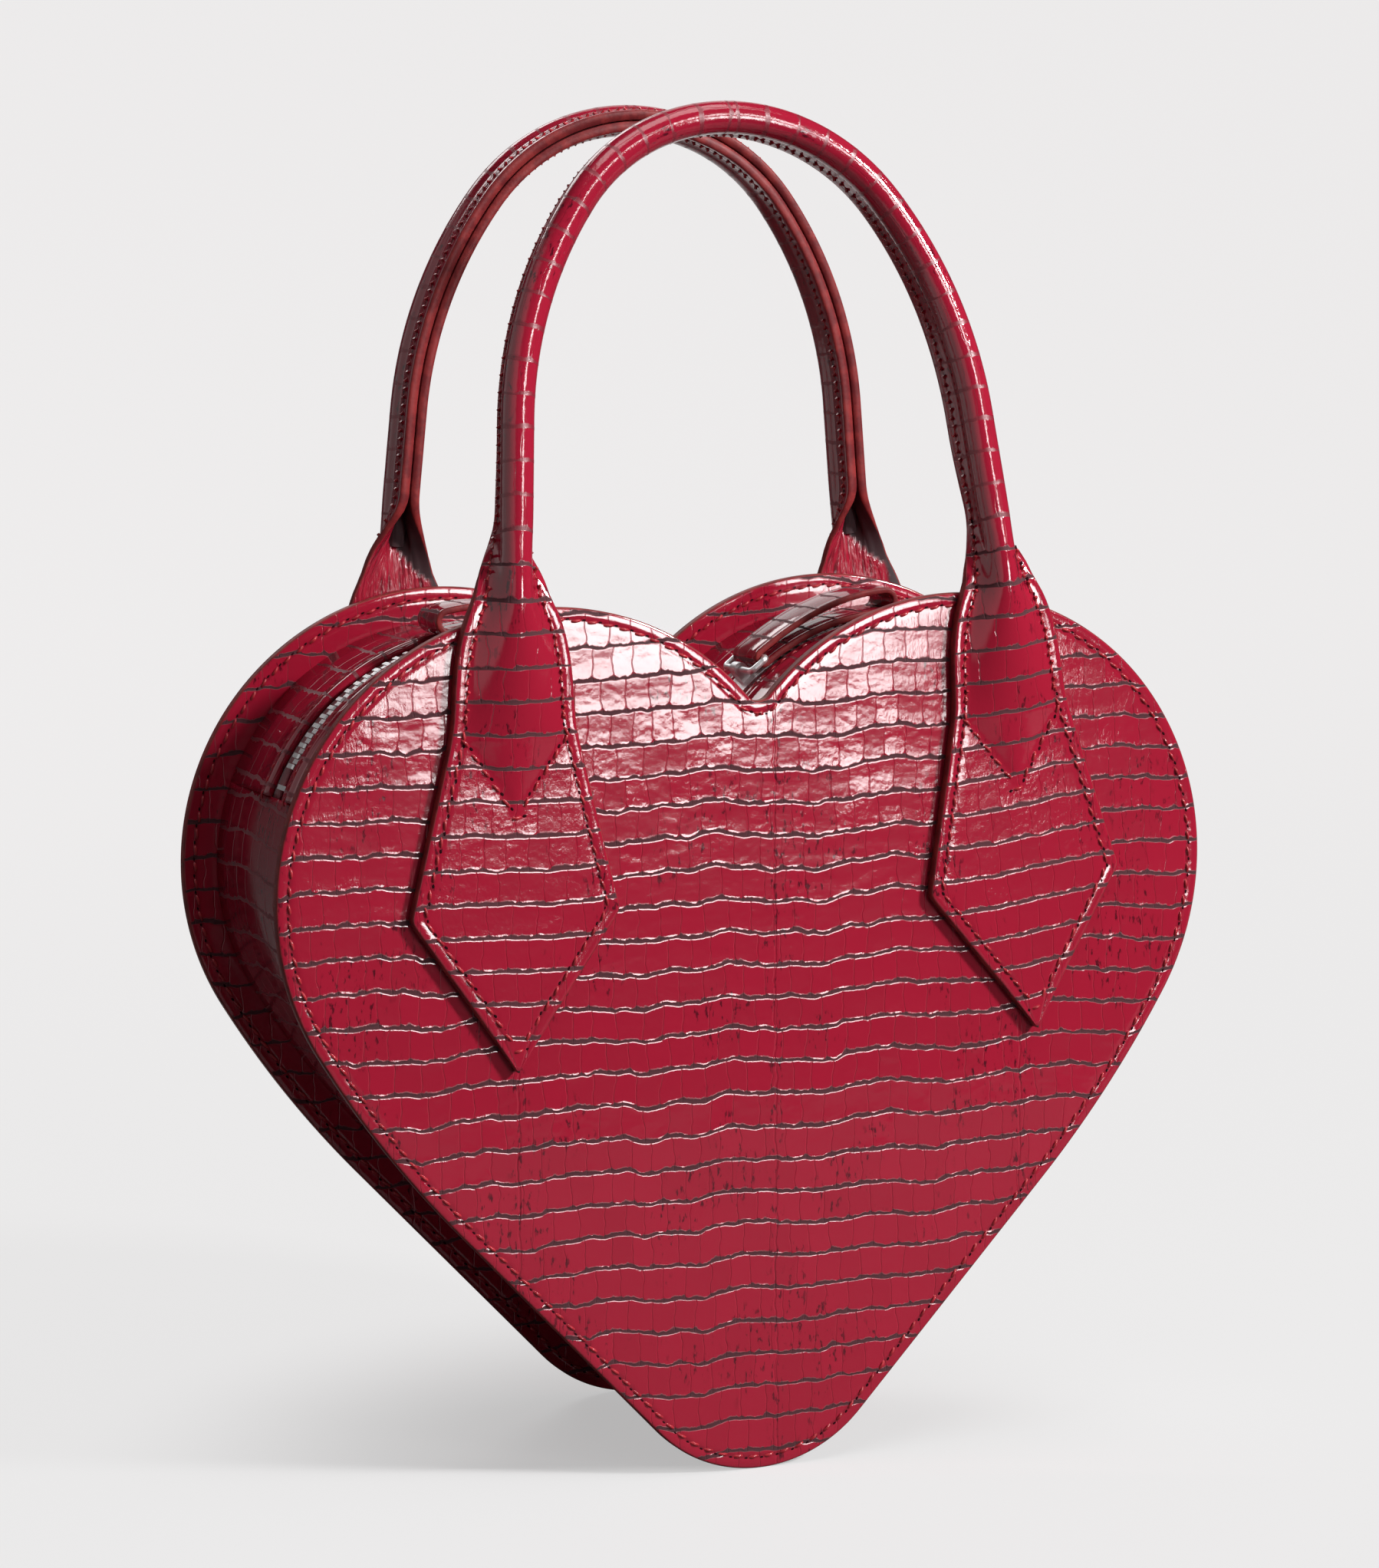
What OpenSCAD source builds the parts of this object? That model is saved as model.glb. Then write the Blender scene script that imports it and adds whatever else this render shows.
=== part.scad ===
// Heart shaped purse: two stiff heart panels stand either side of a recessed gusset,
// a zip runs over both lobes, and two rolled handles end in kite shaped tabs.
// X points right, Y from the front to the back and Z up. The origin is where a hand
// carries the front handle, on the underside of its crown.

/* [Heart panels] */
// Width of the heart over both lobes
heart_w = 240; // [200:1:290]
// Radius of the long curve below each lobe
side_r = 265; // [220:1:360]
// Radius of the rounded tip at the bottom
tip_r = 36.5; // [25:0.5:45]
// Radius of the notch between the lobes
notch_r = 3.5; // [2:0.5:7]
// Depth of the notch below the tops of the lobes
notch_depth = 24; // [18:0.5:32]
// Angle below level at which a lobe runs into the side curve
lobe_end_angle = 31; // [25:1:36]
// Angle below level of the straight flank's normal
flank_angle = 43.2; // [40:0.1:48]
// Depth of the bag over both panels
bag_depth = 80; // [60:1:110]
// Thickness of a panel's outer leather
skin_t = 1.2; // [0.8:0.1:2]
// Thickness of the stiff board inside a panel
board_t = 0.8; // [0.5:0.1:2]
// Thickness of a panel's inner leather
facing_t = 1; // [0.6:0.1:2]

/* [Gusset and lining] */
// Distance from the panels' edge in to the gusset
gusset_inset = 8.5; // [6:0.5:14]
// Thickness of the gusset leather
gusset_t = 1.4; // [0.8:0.1:2]
// Width of the folded hem beside the zip
hem_w = 5; // [3:0.5:8]
// Rise of the folded hem above the gusset
hem_rise = 0.8; // [0.4:0.1:1.5]
// Thickness of the lining cloth
lining_t = 0.6; // [0.3:0.1:1]

/* [Zip] */
// Distance between the two hems beside the zip
zip_window = 12; // [11:0.5:18]
// Distance from one tooth to the next on one side of the zip
tooth_pitch = 2.8; // [2.7:0.1:4]
// Thickness of a tooth along the zip
tooth_t = 1.15; // [0.8:0.05:1.2]
// Height of a tooth
tooth_h = 2.4; // [2:0.1:3]
// Length of a tooth from the middle of the zip to the end of its jaws
jaw_reach = 3; // [2.4:0.1:3.3]
// Length of a tooth past the middle of the zip
tooth_nose = 0.8; // [0.4:0.1:1.2]
// Distance from the middle of the zip to the edge of a tape
tape_edge = 1.2; // [1:0.1:1.6]
// Width of one tape
tape_w = 14; // [12:0.5:18]
// Thickness of a tape
tape_t = 0.6; // [0.4:0.1:0.9]
// Clearance between a tape and the metal that grips it
tape_fit = 0.06; // [0.05:0.01:0.1]
// Angle above level at which the zip ends on a lobe
zip_end_angle = 21; // [5:1:25]

/* [Sliders and pulls] */
// Length of a slider along the zip
slider_l = 12; // [9:0.5:14]
// Width of a slider
slider_w = 10; // [9:0.5:10.5]
// Thickness of a slider's plates
slider_plate_t = 1; // [0.8:0.1:1.4]
// Thickness of a slider's side walls
slider_wall_t = 1.4; // [1:0.1:1.6]
// Height of a pull's hinge above the slider
pull_lift = 2.9; // [2.8:0.1:4]
// Width of the lug that holds a pull
lug_w = 3.2; // [2.5:0.1:4]
// Wall of the lug around its bore
lug_wall = 0.9; // [0.7:0.1:1.2]
// Radius of a pull's wire frame
wire_r = 0.8; // [0.6:0.05:1]
// Running clearance between the wire and the lug's bore
wire_gap = 0.06; // [0.02:0.01:0.1]
// Radius of the wire frame's bends, to the middle of the wire
wire_bend = 1.1; // [1.1:0.1:2]
// Distance between the two bars of a wire frame
frame_l = 5; // [4.6:0.1:8]
// Width of the leather strap of a pull
strap_w = 14; // [10:0.5:18]
// Thickness of the leather strap of a pull
strap_t = 1.6; // [1.2:0.1:2.2]
// Length of a pull's loop from the frame's outer bar
strap_l = 36; // [30:1:50]
// Gap inside the far end of a pull's loop
loop_gap = 3.6; // [2.5:0.1:3.8]
// Angle on its lobe at which the right slider stands
right_slider_angle = 131; // [120:1:131]
// Angle on its lobe at which the left slider stands
left_slider_angle = 116; // [112:1:131]

/* [Handles] */
// Radius of a handle's rolled tube
handle_r = 3.9; // [3:0.1:5]
// Thickness of the leather round the cord
cover_t = 1.25; // [0.8:0.05:1.6]
// Depth of the stitched seam that stands off the tube
seam_w = 5; // [3:0.5:7]
// Radius of a handle's crown
crown_r = 49; // [40:1:60]
// Radius of the bow between crown and leg
bow_r = 102.6; // [80:1:140]
// Angle above level at which the crown runs into the bow
crown_angle = 36.7; // [30:0.5:45]
// Slope of the straight legs
leg_slope = 5.3; // [2:0.1:9]
// Length of the straight legs above the hinge line
leg_l = 38; // [25:1:60]
// Height of the hinge line above the panels' top
hinge_rise = 6.2; // [5:0.1:10]
// Lean of the front handle towards the back one
front_lean = 11; // [0:0.5:15]
// Lean of the back handle towards the front one
back_lean = 2.3; // [0:0.1:15]
// Height of the opened neck where the seam parts
neck_h = 13; // [10:0.5:18]
// Clearance between a leg's rounded foot and its tab
foot_gap = 0.3; // [0.2:0.05:0.6]

/* [Kite tabs] */
// Thickness of a tab's leather
tab_t = 1.5; // [1:0.1:2]
// Thickness of a tab's backing
tab_back_t = 1.2; // [0.8:0.1:2]
// Width of a tab at its neck
tab_neck_w = 20; // [14:0.5:24]
// Width of a tab at its waist
tab_waist_w = 30; // [20:0.5:36]
// Width of a tab at its corners
tab_corner_w = 52; // [36:0.5:60]
// Length from the hinge line down to the top of the waist
tab_shoulder_l = 18; // [14:0.5:26]
// Length from the hinge line down to the bottom of the waist
tab_waist_l = 33; // [28:0.5:46]
// Length from the hinge line down to the corners
tab_corner_l = 77.5; // [60:0.5:90]
// Length from the hinge line down to the tip
tab_tip_l = 114.5; // [95:0.5:125]
// Length of the cord's tapered end inside a tab
cord_end_l = 46; // [30:1:60]
// Radius of the cord's tapered end at its point
cord_point_r = 0.9; // [0.5:0.1:1.5]
// Outward splay of the tabs on the left
left_tab_splay = 0; // [0:0.5:6]
// Outward splay of the tabs on the right
right_tab_splay = 5.5; // [0:0.5:6]

/* [Hidden] */
$fn = 48;
arc_step = 4;
shoulder_steps = 5;
overrun = 1;
fit_gap = 0.3;

red_leather = [0.64, 0.09, 0.18];
dark_leather = [0.42, 0.07, 0.13];
edge_red = [0.55, 0.16, 0.14];
board_grey = [0.55, 0.5, 0.45];
lining_red = [0.5, 0.1, 0.15];
tape_red = [0.6, 0.05, 0.15];
silver = [0.78, 0.78, 0.8];
cord_white = [0.88, 0.85, 0.78];

panel_t = skin_t + board_t + facing_t;
mid_y = bag_depth / 2;

// The lobes' radius follows from the width and the notch, which touches both lobes.
// Their height follows from the flank, which touches the side curve and the tip
notch_reach = heart_w / 2 + notch_r;
lobe_r = notch_depth + notch_reach - sqrt(2 * notch_depth * notch_reach) - notch_r;
lobe_x = heart_w / 2 - lobe_r;
flank_x = cos(flank_angle);
flank_z = -sin(flank_angle);
side_off = (lobe_r - side_r) * [cos(lobe_end_angle), -sin(lobe_end_angle)];
lobe_z = (tip_r * (1 + flank_z) - side_r - flank_x * (lobe_x + side_off.x)) / flank_z - side_off.y;
lobe_c = [lobe_x, lobe_z];
side_c = lobe_c + side_off;
tip_c = [0, tip_r];
notch_c = [0, lobe_z + sqrt((lobe_r + notch_r) * (lobe_r + notch_r) - lobe_x * lobe_x)];
notch_angle = atan2(notch_c.y - lobe_c.y, notch_c.x - lobe_c.x);
panel_top = lobe_z + lobe_r;

// Depths in from the heart's edge of the layers along the gusset
tape_in = gusset_inset + gusset_t;
chain_in = tape_in + tape_t / 2;
lining_in = tape_in + lining_t;
chain_lobe_r = lobe_r - chain_in;
chain_notch_r = notch_r + chain_in;
hem_top_r = lobe_r - gusset_inset + hem_rise;
strip_w = mid_y - zip_window / 2 - panel_t;
tape_far = tape_edge + tape_w;

// Length of the row of teeth, from its right end over the notch to its left end
chain_end_angle = zip_end_angle + 2 * tooth_pitch / chain_lobe_r * 180 / PI;
lobe_run = chain_lobe_r * (notch_angle - chain_end_angle) * PI / 180;
notch_run = chain_notch_r * (2 * notch_angle - 180) * PI / 180;
tooth_count = floor((2 * lobe_run + notch_run) / tooth_pitch);

// Radii about a lobe's centre of the parts that travel with a slider
slider_top_r = chain_lobe_r + tooth_h / 2 + fit_gap;
slider_low_r = chain_lobe_r - tooth_h / 2 - fit_gap;
pull_r = slider_top_r + slider_plate_t + pull_lift;
eye_r = wire_r + fit_gap / 3 + strap_t / 2;
loop_low_r = pull_r - eye_r;
loop_end_r = (loop_gap + strap_t) / 2;
slider_half_angle = slider_l / 2 / chain_lobe_r * 180 / PI;
frame_angle = frame_l / pull_r * 180 / PI;
strap_angle = strap_l / pull_r * 180 / PI;

// Handle arch: crown, two bows and two straight legs, from the hinge line up
bow_x = (crown_r - bow_r) * cos(crown_angle);
bow_end_z = leg_l * cos(leg_slope);
bow_z = bow_end_z - bow_r * sin(leg_slope);
crown_z = bow_z + (bow_r - crown_r) * sin(crown_angle);
leg_x = bow_x + bow_r * cos(leg_slope) + leg_l * sin(leg_slope);
crown_top = crown_z + crown_r;
hinge_y = -handle_r - foot_gap / 3;
hinge_z = panel_top + hinge_rise;
core_r = handle_r - cover_t;
core_fit = 0.05;
bow_lap = 0.5;
tab_top_l = handle_r + foot_gap;
tab_all_t = tab_t + tab_back_t;
seam_t = 2 * tab_all_t;
grip = [0, hinge_y + (crown_top - handle_r) * sin(front_lean),
    hinge_z + (crown_top - handle_r) * cos(front_lean)];

// Points of a circle's arc, without its first point
function arc(centre, r, from, to) =
    let (n = ceil(abs(to - from) / arc_step))
    [for (i = [1 : n]) let (a = from + (to - from) * i / n) centre + r * [cos(a), sin(a)]];

function arc_start(centre, r, from) = [centre + r * [cos(from), sin(from)]];

function mirrored(points) = [for (i = [len(points) - 1 : -1 : 0]) [-points[i].x, points[i].y]];

function reversed(points) = [for (i = [len(points) - 1 : -1 : 0]) points[i]];

function tail(points) = [for (i = [1 : len(points) - 1]) points[i]];

// Notch and lobe from the bottom of the notch over the right lobe to the zip's end
function top_half(inset) = concat(
    arc_start(notch_c, notch_r + inset, -90),
    arc(notch_c, notch_r + inset, -90, notch_angle - 180),
    arc(lobe_c, lobe_r - inset, notch_angle, 90),
    arc(lobe_c, lobe_r - inset, 90, zip_end_angle));

// Right side from the zip's end down to the tip
function side_half(inset) = concat(
    arc_start(lobe_c, lobe_r - inset, zip_end_angle),
    arc(lobe_c, lobe_r - inset, zip_end_angle, -lobe_end_angle),
    arc(side_c, side_r - inset, -lobe_end_angle, -flank_angle),
    arc_start(tip_c, tip_r - inset, -flank_angle),
    arc(tip_c, tip_r - inset, -flank_angle, -90));

// Edge over both lobes and through the notch, from one zip end to the other
function top_edge(inset) =
    concat(reversed(top_half(inset)), tail(reversed(mirrored(top_half(inset)))));

// Edge round the sides and the tip, from one zip end to the other
function base_edge(inset) = concat(side_half(inset), tail(mirrored(side_half(inset))));

// Whole edge of the heart, drawn in from the panels' edge by an inset
function heart_edge(inset) =
    concat(tail(top_edge(inset)), tail(reversed(base_edge(inset))));

// Place and outward normal of a point along the row of teeth
function chain_place(s) = s < lobe_run
    ? let (a = chain_end_angle + s / chain_lobe_r * 180 / PI)
        [lobe_c + chain_lobe_r * [cos(a), sin(a)], a]
    : s < lobe_run + notch_run
        ? let (a = notch_angle - 180 - (s - lobe_run) / chain_notch_r * 180 / PI)
            [notch_c + chain_notch_r * [cos(a), sin(a)], a + 180]
        : let (q = chain_place(2 * lobe_run + notch_run - s))
            [[-q[0].x, q[0].y], 180 - q[1]];

// Moves the heart's own axes to the part's frame
module in_frame() {
    translate(-grip) children();
}

// Gives a flat outline in the plane of the panels a depth from y on
module slab(y, t) {
    translate([0, y + t, 0]) rotate([90, 0, 0]) linear_extrude(t) children();
}

module left_side() {
    mirror([1, 0, 0]) children();
}

module back_side() {
    translate([0, bag_depth, 0]) mirror([0, 1, 0]) children();
}

module panel_layer(y, t, shade) {
    color(shade) in_frame() slab(y, t) polygon(heart_edge(0));
}

module front_panel_leather() {
    panel_layer(0, skin_t, red_leather);
}

module front_panel_board() {
    panel_layer(skin_t, board_t, board_grey);
}

module front_panel_facing() {
    panel_layer(skin_t + board_t, facing_t, red_leather);
}

module back_panel_leather() {
    panel_layer(bag_depth - skin_t, skin_t, red_leather);
}

module back_panel_board() {
    panel_layer(bag_depth - skin_t - board_t, board_t, board_grey);
}

module back_panel_facing() {
    panel_layer(bag_depth - panel_t, facing_t, red_leather);
}

module base_band(outer, inner) {
    polygon(concat(base_edge(outer), reversed(base_edge(inner))));
}

module top_band(outer, inner) {
    polygon(concat(top_edge(outer), reversed(top_edge(inner))));
}

module gusset_base() {
    color(dark_leather) in_frame()
        slab(panel_t, bag_depth - 2 * panel_t) base_band(gusset_inset, tape_in);
}

// A leather strip beside the zip, with its edge folded over towards the zip
module gusset_strip() {
    slab(panel_t, strip_w) top_band(gusset_inset, tape_in);
    slab(panel_t + strip_w - hem_w, hem_w) top_band(gusset_inset - hem_rise, gusset_inset);
}

module gusset_front_strip() {
    color(red_leather) in_frame() gusset_strip();
}

module gusset_back_strip() {
    color(red_leather) in_frame() back_side() gusset_strip();
}

module zip_tape() {
    slab(mid_y - tape_far, tape_w) top_band(tape_in, tape_in + tape_t);
}

module zip_tape_front() {
    color(tape_red) in_frame() zip_tape();
}

module zip_tape_back() {
    color(tape_red) in_frame() back_side() zip_tape();
}

// One tooth: jaws that grip the tape's edge and a nose past the zip's middle
module tooth() {
    bevel = tooth_nose / 2;
    slot = tape_t / 2 + tape_fit;
    rotate([90, 0, 90]) translate([0, 0, -tooth_t / 2]) linear_extrude(tooth_t) polygon([
        [-jaw_reach, tooth_h / 2], [-jaw_reach, slot], [tape_fit - tape_edge, slot],
        [tape_fit - tape_edge, -slot], [-jaw_reach, -slot], [-jaw_reach, -tooth_h / 2],
        [tooth_nose - bevel, -tooth_h / 2], [tooth_nose, bevel - tooth_h / 2],
        [tooth_nose, tooth_h / 2 - bevel], [tooth_nose - bevel, tooth_h / 2]]);
}

module at_chain(s) {
    place = chain_place(s);
    translate([place[0].x, mid_y, place[0].y]) rotate([0, 90 - place[1], 0]) children();
}

module zip_teeth_front() {
    color(silver) in_frame()
        for (i = [0 : tooth_count - 1]) at_chain((i + 0.25) * tooth_pitch) tooth();
}

module zip_teeth_back() {
    color(silver) in_frame()
        for (i = [0 : tooth_count - 1]) at_chain((i + 0.75) * tooth_pitch) mirror([0, 1, 0]) tooth();
}

// A staple at each end of the zip, closed round the edges of both tapes
module zip_end_stops() {
    slot = tape_t + 2 * tape_fit;
    color(silver) in_frame()
        for (side = [0, 1]) mirror([side, 0, 0]) at_chain(-tooth_pitch) difference() {
            cube([tooth_t, 2 * jaw_reach, tooth_h], center = true);
            for (edge = [0, 1]) mirror([0, edge, 0])
                translate([-tooth_t, tape_edge - tape_fit, -slot / 2])
                    cube([2 * tooth_t, jaw_reach, slot]);
        }
}

module lining_front() {
    color(lining_red) in_frame() slab(panel_t, lining_t) polygon(heart_edge(lining_in));
}

module lining_back() {
    color(lining_red) in_frame() back_side()
        slab(panel_t, lining_t) polygon(heart_edge(lining_in));
}

// Lining under the gusset, cut away under the zip
module lining_gusset() {
    zip_clear = tape_far + fit_gap;
    color(lining_red) in_frame() {
        slab(panel_t, bag_depth - 2 * panel_t) base_band(tape_in, lining_in);
        for (side = [0, 1]) translate([0, side * bag_depth, 0]) mirror([0, side, 0])
            slab(panel_t, mid_y - zip_clear - panel_t) top_band(tape_in, lining_in);
    }
}

// Half width of a tab between its neck and its waist, eased in and out
function shoulder_w(share) =
    (tab_neck_w + (tab_waist_w - tab_neck_w) * (1 - cos(180 * share)) / 2) / 2;

function tab_half() = concat(
    [for (i = [0 : shoulder_steps]) let (share = i / shoulder_steps)
        [shoulder_w(share), -tab_top_l - (tab_shoulder_l - tab_top_l) * share]],
    [[tab_waist_w / 2, -tab_waist_l], [tab_corner_w / 2, -tab_corner_l]]);

module tab_outline() {
    polygon(concat(tab_half(), [[0, -tab_tip_l]], mirrored(tab_half())));
}

module at_right_tab(splay) {
    translate([leg_x, 0, hinge_z]) rotate([0, -splay, 0]) children();
}

// Kite tab with the bulge of the cord's tapered end under its leather
module right_tab(splay) {
    point_y = cord_point_r / 2 - tab_all_t;
    tilt = atan2(point_y - hinge_y, cord_end_l - tab_top_l);
    at_right_tab(splay) {
        slab(-tab_all_t, tab_t) tab_outline();
        intersection() {
            translate([0, point_y, -cord_end_l]) rotate([tilt, 0, 0])
                cylinder(h = cord_end_l, r1 = cord_point_r, r2 = handle_r);
            translate([-handle_r, -3 * handle_r, -cord_end_l - handle_r])
                cube([2 * handle_r, 3 * handle_r - tab_back_t - tab_t / 2,
                    cord_end_l + handle_r - tab_top_l]);
        }
    }
}

module right_tab_backing(splay) {
    at_right_tab(splay) slab(-tab_back_t, tab_back_t) tab_outline();
}

module front_left_tab() {
    color(red_leather) in_frame() left_side() right_tab(left_tab_splay);
}

module front_right_tab() {
    color(red_leather) in_frame() right_tab(right_tab_splay);
}

module back_left_tab() {
    color(red_leather) in_frame() back_side() left_side() right_tab(left_tab_splay);
}

module back_right_tab() {
    color(red_leather) in_frame() back_side() right_tab(right_tab_splay);
}

module front_left_tab_backing() {
    color(edge_red) in_frame() left_side() right_tab_backing(left_tab_splay);
}

module front_right_tab_backing() {
    color(edge_red) in_frame() right_tab_backing(right_tab_splay);
}

module back_left_tab_backing() {
    color(edge_red) in_frame() back_side() left_side() right_tab_backing(left_tab_splay);
}

module back_right_tab_backing() {
    color(edge_red) in_frame() back_side() right_tab_backing(right_tab_splay);
}

module at_front_hinge() {
    translate([0, hinge_y, hinge_z]) rotate([-front_lean, 0, 0]) children();
}

module at_back_hinge() {
    back_side() translate([0, hinge_y, hinge_z]) rotate([-back_lean, 0, 0]) children();
}

// Runs a section round the crown; its y points away from the other handle
module crown_sweep() {
    translate([0, 0, crown_z]) rotate([90, 0, 0]) rotate([0, 0, crown_angle])
        rotate_extrude(angle = 180 - 2 * crown_angle) translate([crown_r, 0]) children();
}

// Runs a section down both bows, and a touch into the crown and the legs
module bow_sweep() {
    for (side = [0, 1]) mirror([side, 0, 0]) translate([bow_x, 0, bow_z]) rotate([90, 0, 0])
        rotate([0, 0, leg_slope - bow_lap])
            rotate_extrude(angle = crown_angle - leg_slope + 2 * bow_lap)
                translate([bow_r, 0]) children();
}

module at_legs() {
    for (side = [0, 1]) mirror([side, 0, 0]) translate([leg_x, 0, 0])
        rotate([0, -leg_slope, 0]) children();
}

// Leather tube with its stitched seam; trim slims it a touch where two arcs meet
module cover_section(trim) {
    difference() {
        union() {
            circle(handle_r - trim);
            translate([trim - seam_t / 2, trim - handle_r - seam_w])
                square([seam_t - 2 * trim, handle_r + seam_w - trim]);
        }
        circle(core_r + core_fit - trim / 2);
    }
}

// A leg's tube with its rounded foot, the parted neck and the seam above it
module cover_leg() {
    rotate_extrude() difference() {
        union() {
            square([handle_r, leg_l]);
            intersection() {
                circle(handle_r);
                translate([0, -handle_r]) square(handle_r);
            }
        }
        translate([-overrun, handle_r]) square([overrun + core_r + core_fit, leg_l]);
    }
    difference() {
        union() {
            translate([-seam_t / 2, 0, neck_h]) cube([seam_t, handle_r + seam_w, leg_l - neck_h]);
            slab(-tab_all_t / 2, tab_all_t) polygon([
                [tab_neck_w / 2, handle_r / 4], [handle_r, neck_h],
                [-handle_r, neck_h], [-tab_neck_w / 2, handle_r / 4]]);
        }
        translate([0, 0, -overrun]) cylinder(h = leg_l + 2 * overrun, r = handle_r - cover_t / 2);
    }
}

module handle_cover() {
    crown_sweep() cover_section(0);
    bow_sweep() cover_section(core_fit);
    at_legs() cover_leg();
}

// Cord inside the tube, a touch slimmer in the bows
module handle_core() {
    crown_sweep() circle(core_r);
    bow_sweep() circle(core_r - core_fit);
    at_legs() translate([0, 0, handle_r + core_fit])
        cylinder(h = leg_l - handle_r - core_fit, r = core_r);
}

module front_handle_cover() {
    color(red_leather) in_frame() at_front_hinge() handle_cover();
}

module front_handle_core() {
    color(cord_white) in_frame() at_front_hinge() handle_core();
}

module back_handle_cover() {
    color(red_leather) in_frame() at_back_hinge() handle_cover();
}

module back_handle_core() {
    color(cord_white) in_frame() at_back_hinge() handle_core();
}

// Turns a part drawn above a lobe's centre to its angle on the right lobe
module on_right_lobe(angle) {
    translate([lobe_c.x, mid_y, lobe_c.y]) rotate([0, 90 - angle, 0]) children();
}

function polar(r, a) = r * [cos(a), sin(a)];

// Section of a ring about the lobe's centre, as wide as the slider is long
module slider_ring(low, high) {
    polygon(concat(arc_start([0, 0], low, 90 + slider_half_angle),
        arc([0, 0], low, 90 + slider_half_angle, 90 - slider_half_angle),
        arc_start([0, 0], high, 90 - slider_half_angle),
        arc([0, 0], high, 90 - slider_half_angle, 90 + slider_half_angle)));
}

// Two plates over and under the teeth, with side walls down to the tapes and a
// bored lug for the pull
module slider() {
    tape_gap = fit_gap / 2;
    tape_top = chain_lobe_r + tape_t / 2 + tape_gap;
    tape_low = chain_lobe_r - tape_t / 2 - tape_gap;
    lug_r = wire_r + wire_gap + lug_wall;
    slab(-slider_w / 2, slider_w) slider_ring(slider_top_r, slider_top_r + slider_plate_t);
    slab(-slider_w / 2, slider_w) slider_ring(slider_low_r - slider_plate_t, slider_low_r);
    for (side = [0, 1]) mirror([0, side, 0]) {
        slab(slider_w / 2 - slider_wall_t, slider_wall_t) slider_ring(tape_top, slider_top_r);
        slab(slider_w / 2 - slider_wall_t, slider_wall_t) slider_ring(slider_low_r, tape_low);
    }
    slab(-lug_w / 2, lug_w) difference() {
        union() {
            translate([-lug_r, slider_top_r]) square([2 * lug_r, pull_r - slider_top_r]);
            translate([0, pull_r]) circle(lug_r);
        }
        translate([0, pull_r]) circle(wire_r + wire_gap);
    }
}

module cross_bar(half) {
    translate([0, half, 0]) rotate([90, 0, 0]) cylinder(h = 2 * half, r = wire_r);
}

// Rectangular wire frame with bent corners, from the slider's lug to the strap
module pull_frame() {
    half = strap_w / 2 + wire_bend;
    reach = 2 * pull_r * sin(frame_angle / 2);
    translate([0, 0, pull_r]) rotate([0, frame_angle / 2, 0]) for (end = [0, 1])
        translate([end * reach, 0, 0]) mirror([end, 0, 0]) {
            cross_bar(strap_w / 2);
            for (side = [0, 1]) mirror([0, side, 0]) {
                translate([wire_bend, half, 0]) rotate([0, 90, 0])
                    cylinder(h = reach / 2 - wire_bend, r = wire_r);
                translate([wire_bend, strap_w / 2, 0]) rotate([0, 0, 90])
                    rotate_extrude(angle = 90) translate([wire_bend, 0])
                        circle(wire_r + core_fit);
            }
        }
}

// Edge of the strap's loop: an eye round the bar, a lower run close to the gusset,
// a rounded far end and an upper run that arches away
function loop_edge(grow) =
    let (root = 90 - frame_angle, end = root - strap_angle, runs = 12,
        bar = polar(pull_r, root), tail = polar(loop_low_r + loop_end_r, end),
        lift = 2 * (loop_end_r - eye_r))
    concat(
        [for (i = [0 : runs]) polar(loop_low_r - grow, root - strap_angle * i / runs)],
        [for (i = [1 : runs - 1]) let (a = end - 180 + 180 * i / runs)
            tail + polar(loop_end_r + grow, a)],
        [for (i = [0 : runs]) let (share = 1 - i / runs)
            polar(loop_low_r + 2 * eye_r + lift * (1 - cos(180 * share)) / 2 + grow,
                end + strap_angle * i / runs)],
        [for (i = [1 : runs - 1]) let (a = root + 180 * i / runs)
            bar + polar(eye_r + grow, a)]);

module pull_strap() {
    slab(-strap_w / 2, strap_w) difference() {
        polygon(loop_edge(strap_t / 2));
        polygon(loop_edge(-strap_t / 2));
    }
}

module left_slider() {
    color(silver) in_frame() left_side() on_right_lobe(left_slider_angle) slider();
}

module right_slider() {
    color(silver) in_frame() on_right_lobe(right_slider_angle) slider();
}

module left_pull_frame() {
    color(silver) in_frame() left_side() on_right_lobe(left_slider_angle) pull_frame();
}

module right_pull_frame() {
    color(silver) in_frame() on_right_lobe(right_slider_angle) pull_frame();
}

module left_pull_strap() {
    color(red_leather) in_frame() left_side() on_right_lobe(left_slider_angle) pull_strap();
}

module right_pull_strap() {
    color(red_leather) in_frame() on_right_lobe(right_slider_angle) pull_strap();
}

front_panel_leather();
front_panel_board();
front_panel_facing();
back_panel_leather();
back_panel_board();
back_panel_facing();
gusset_base();
gusset_front_strip();
gusset_back_strip();
zip_tape_front();
zip_tape_back();
zip_teeth_front();
zip_teeth_back();
zip_end_stops();
lining_front();
lining_back();
lining_gusset();
front_left_tab();
front_right_tab();
back_left_tab();
back_right_tab();
front_left_tab_backing();
front_right_tab_backing();
back_left_tab_backing();
back_right_tab_backing();
front_handle_cover();
front_handle_core();
back_handle_cover();
back_handle_core();
left_slider();
right_slider();
left_pull_frame();
right_pull_frame();
left_pull_strap();
right_pull_strap();
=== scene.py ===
import bpy, bmesh, math
import numpy as np
from functools import partialmethod
from mathutils import Matrix, Vector


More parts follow.
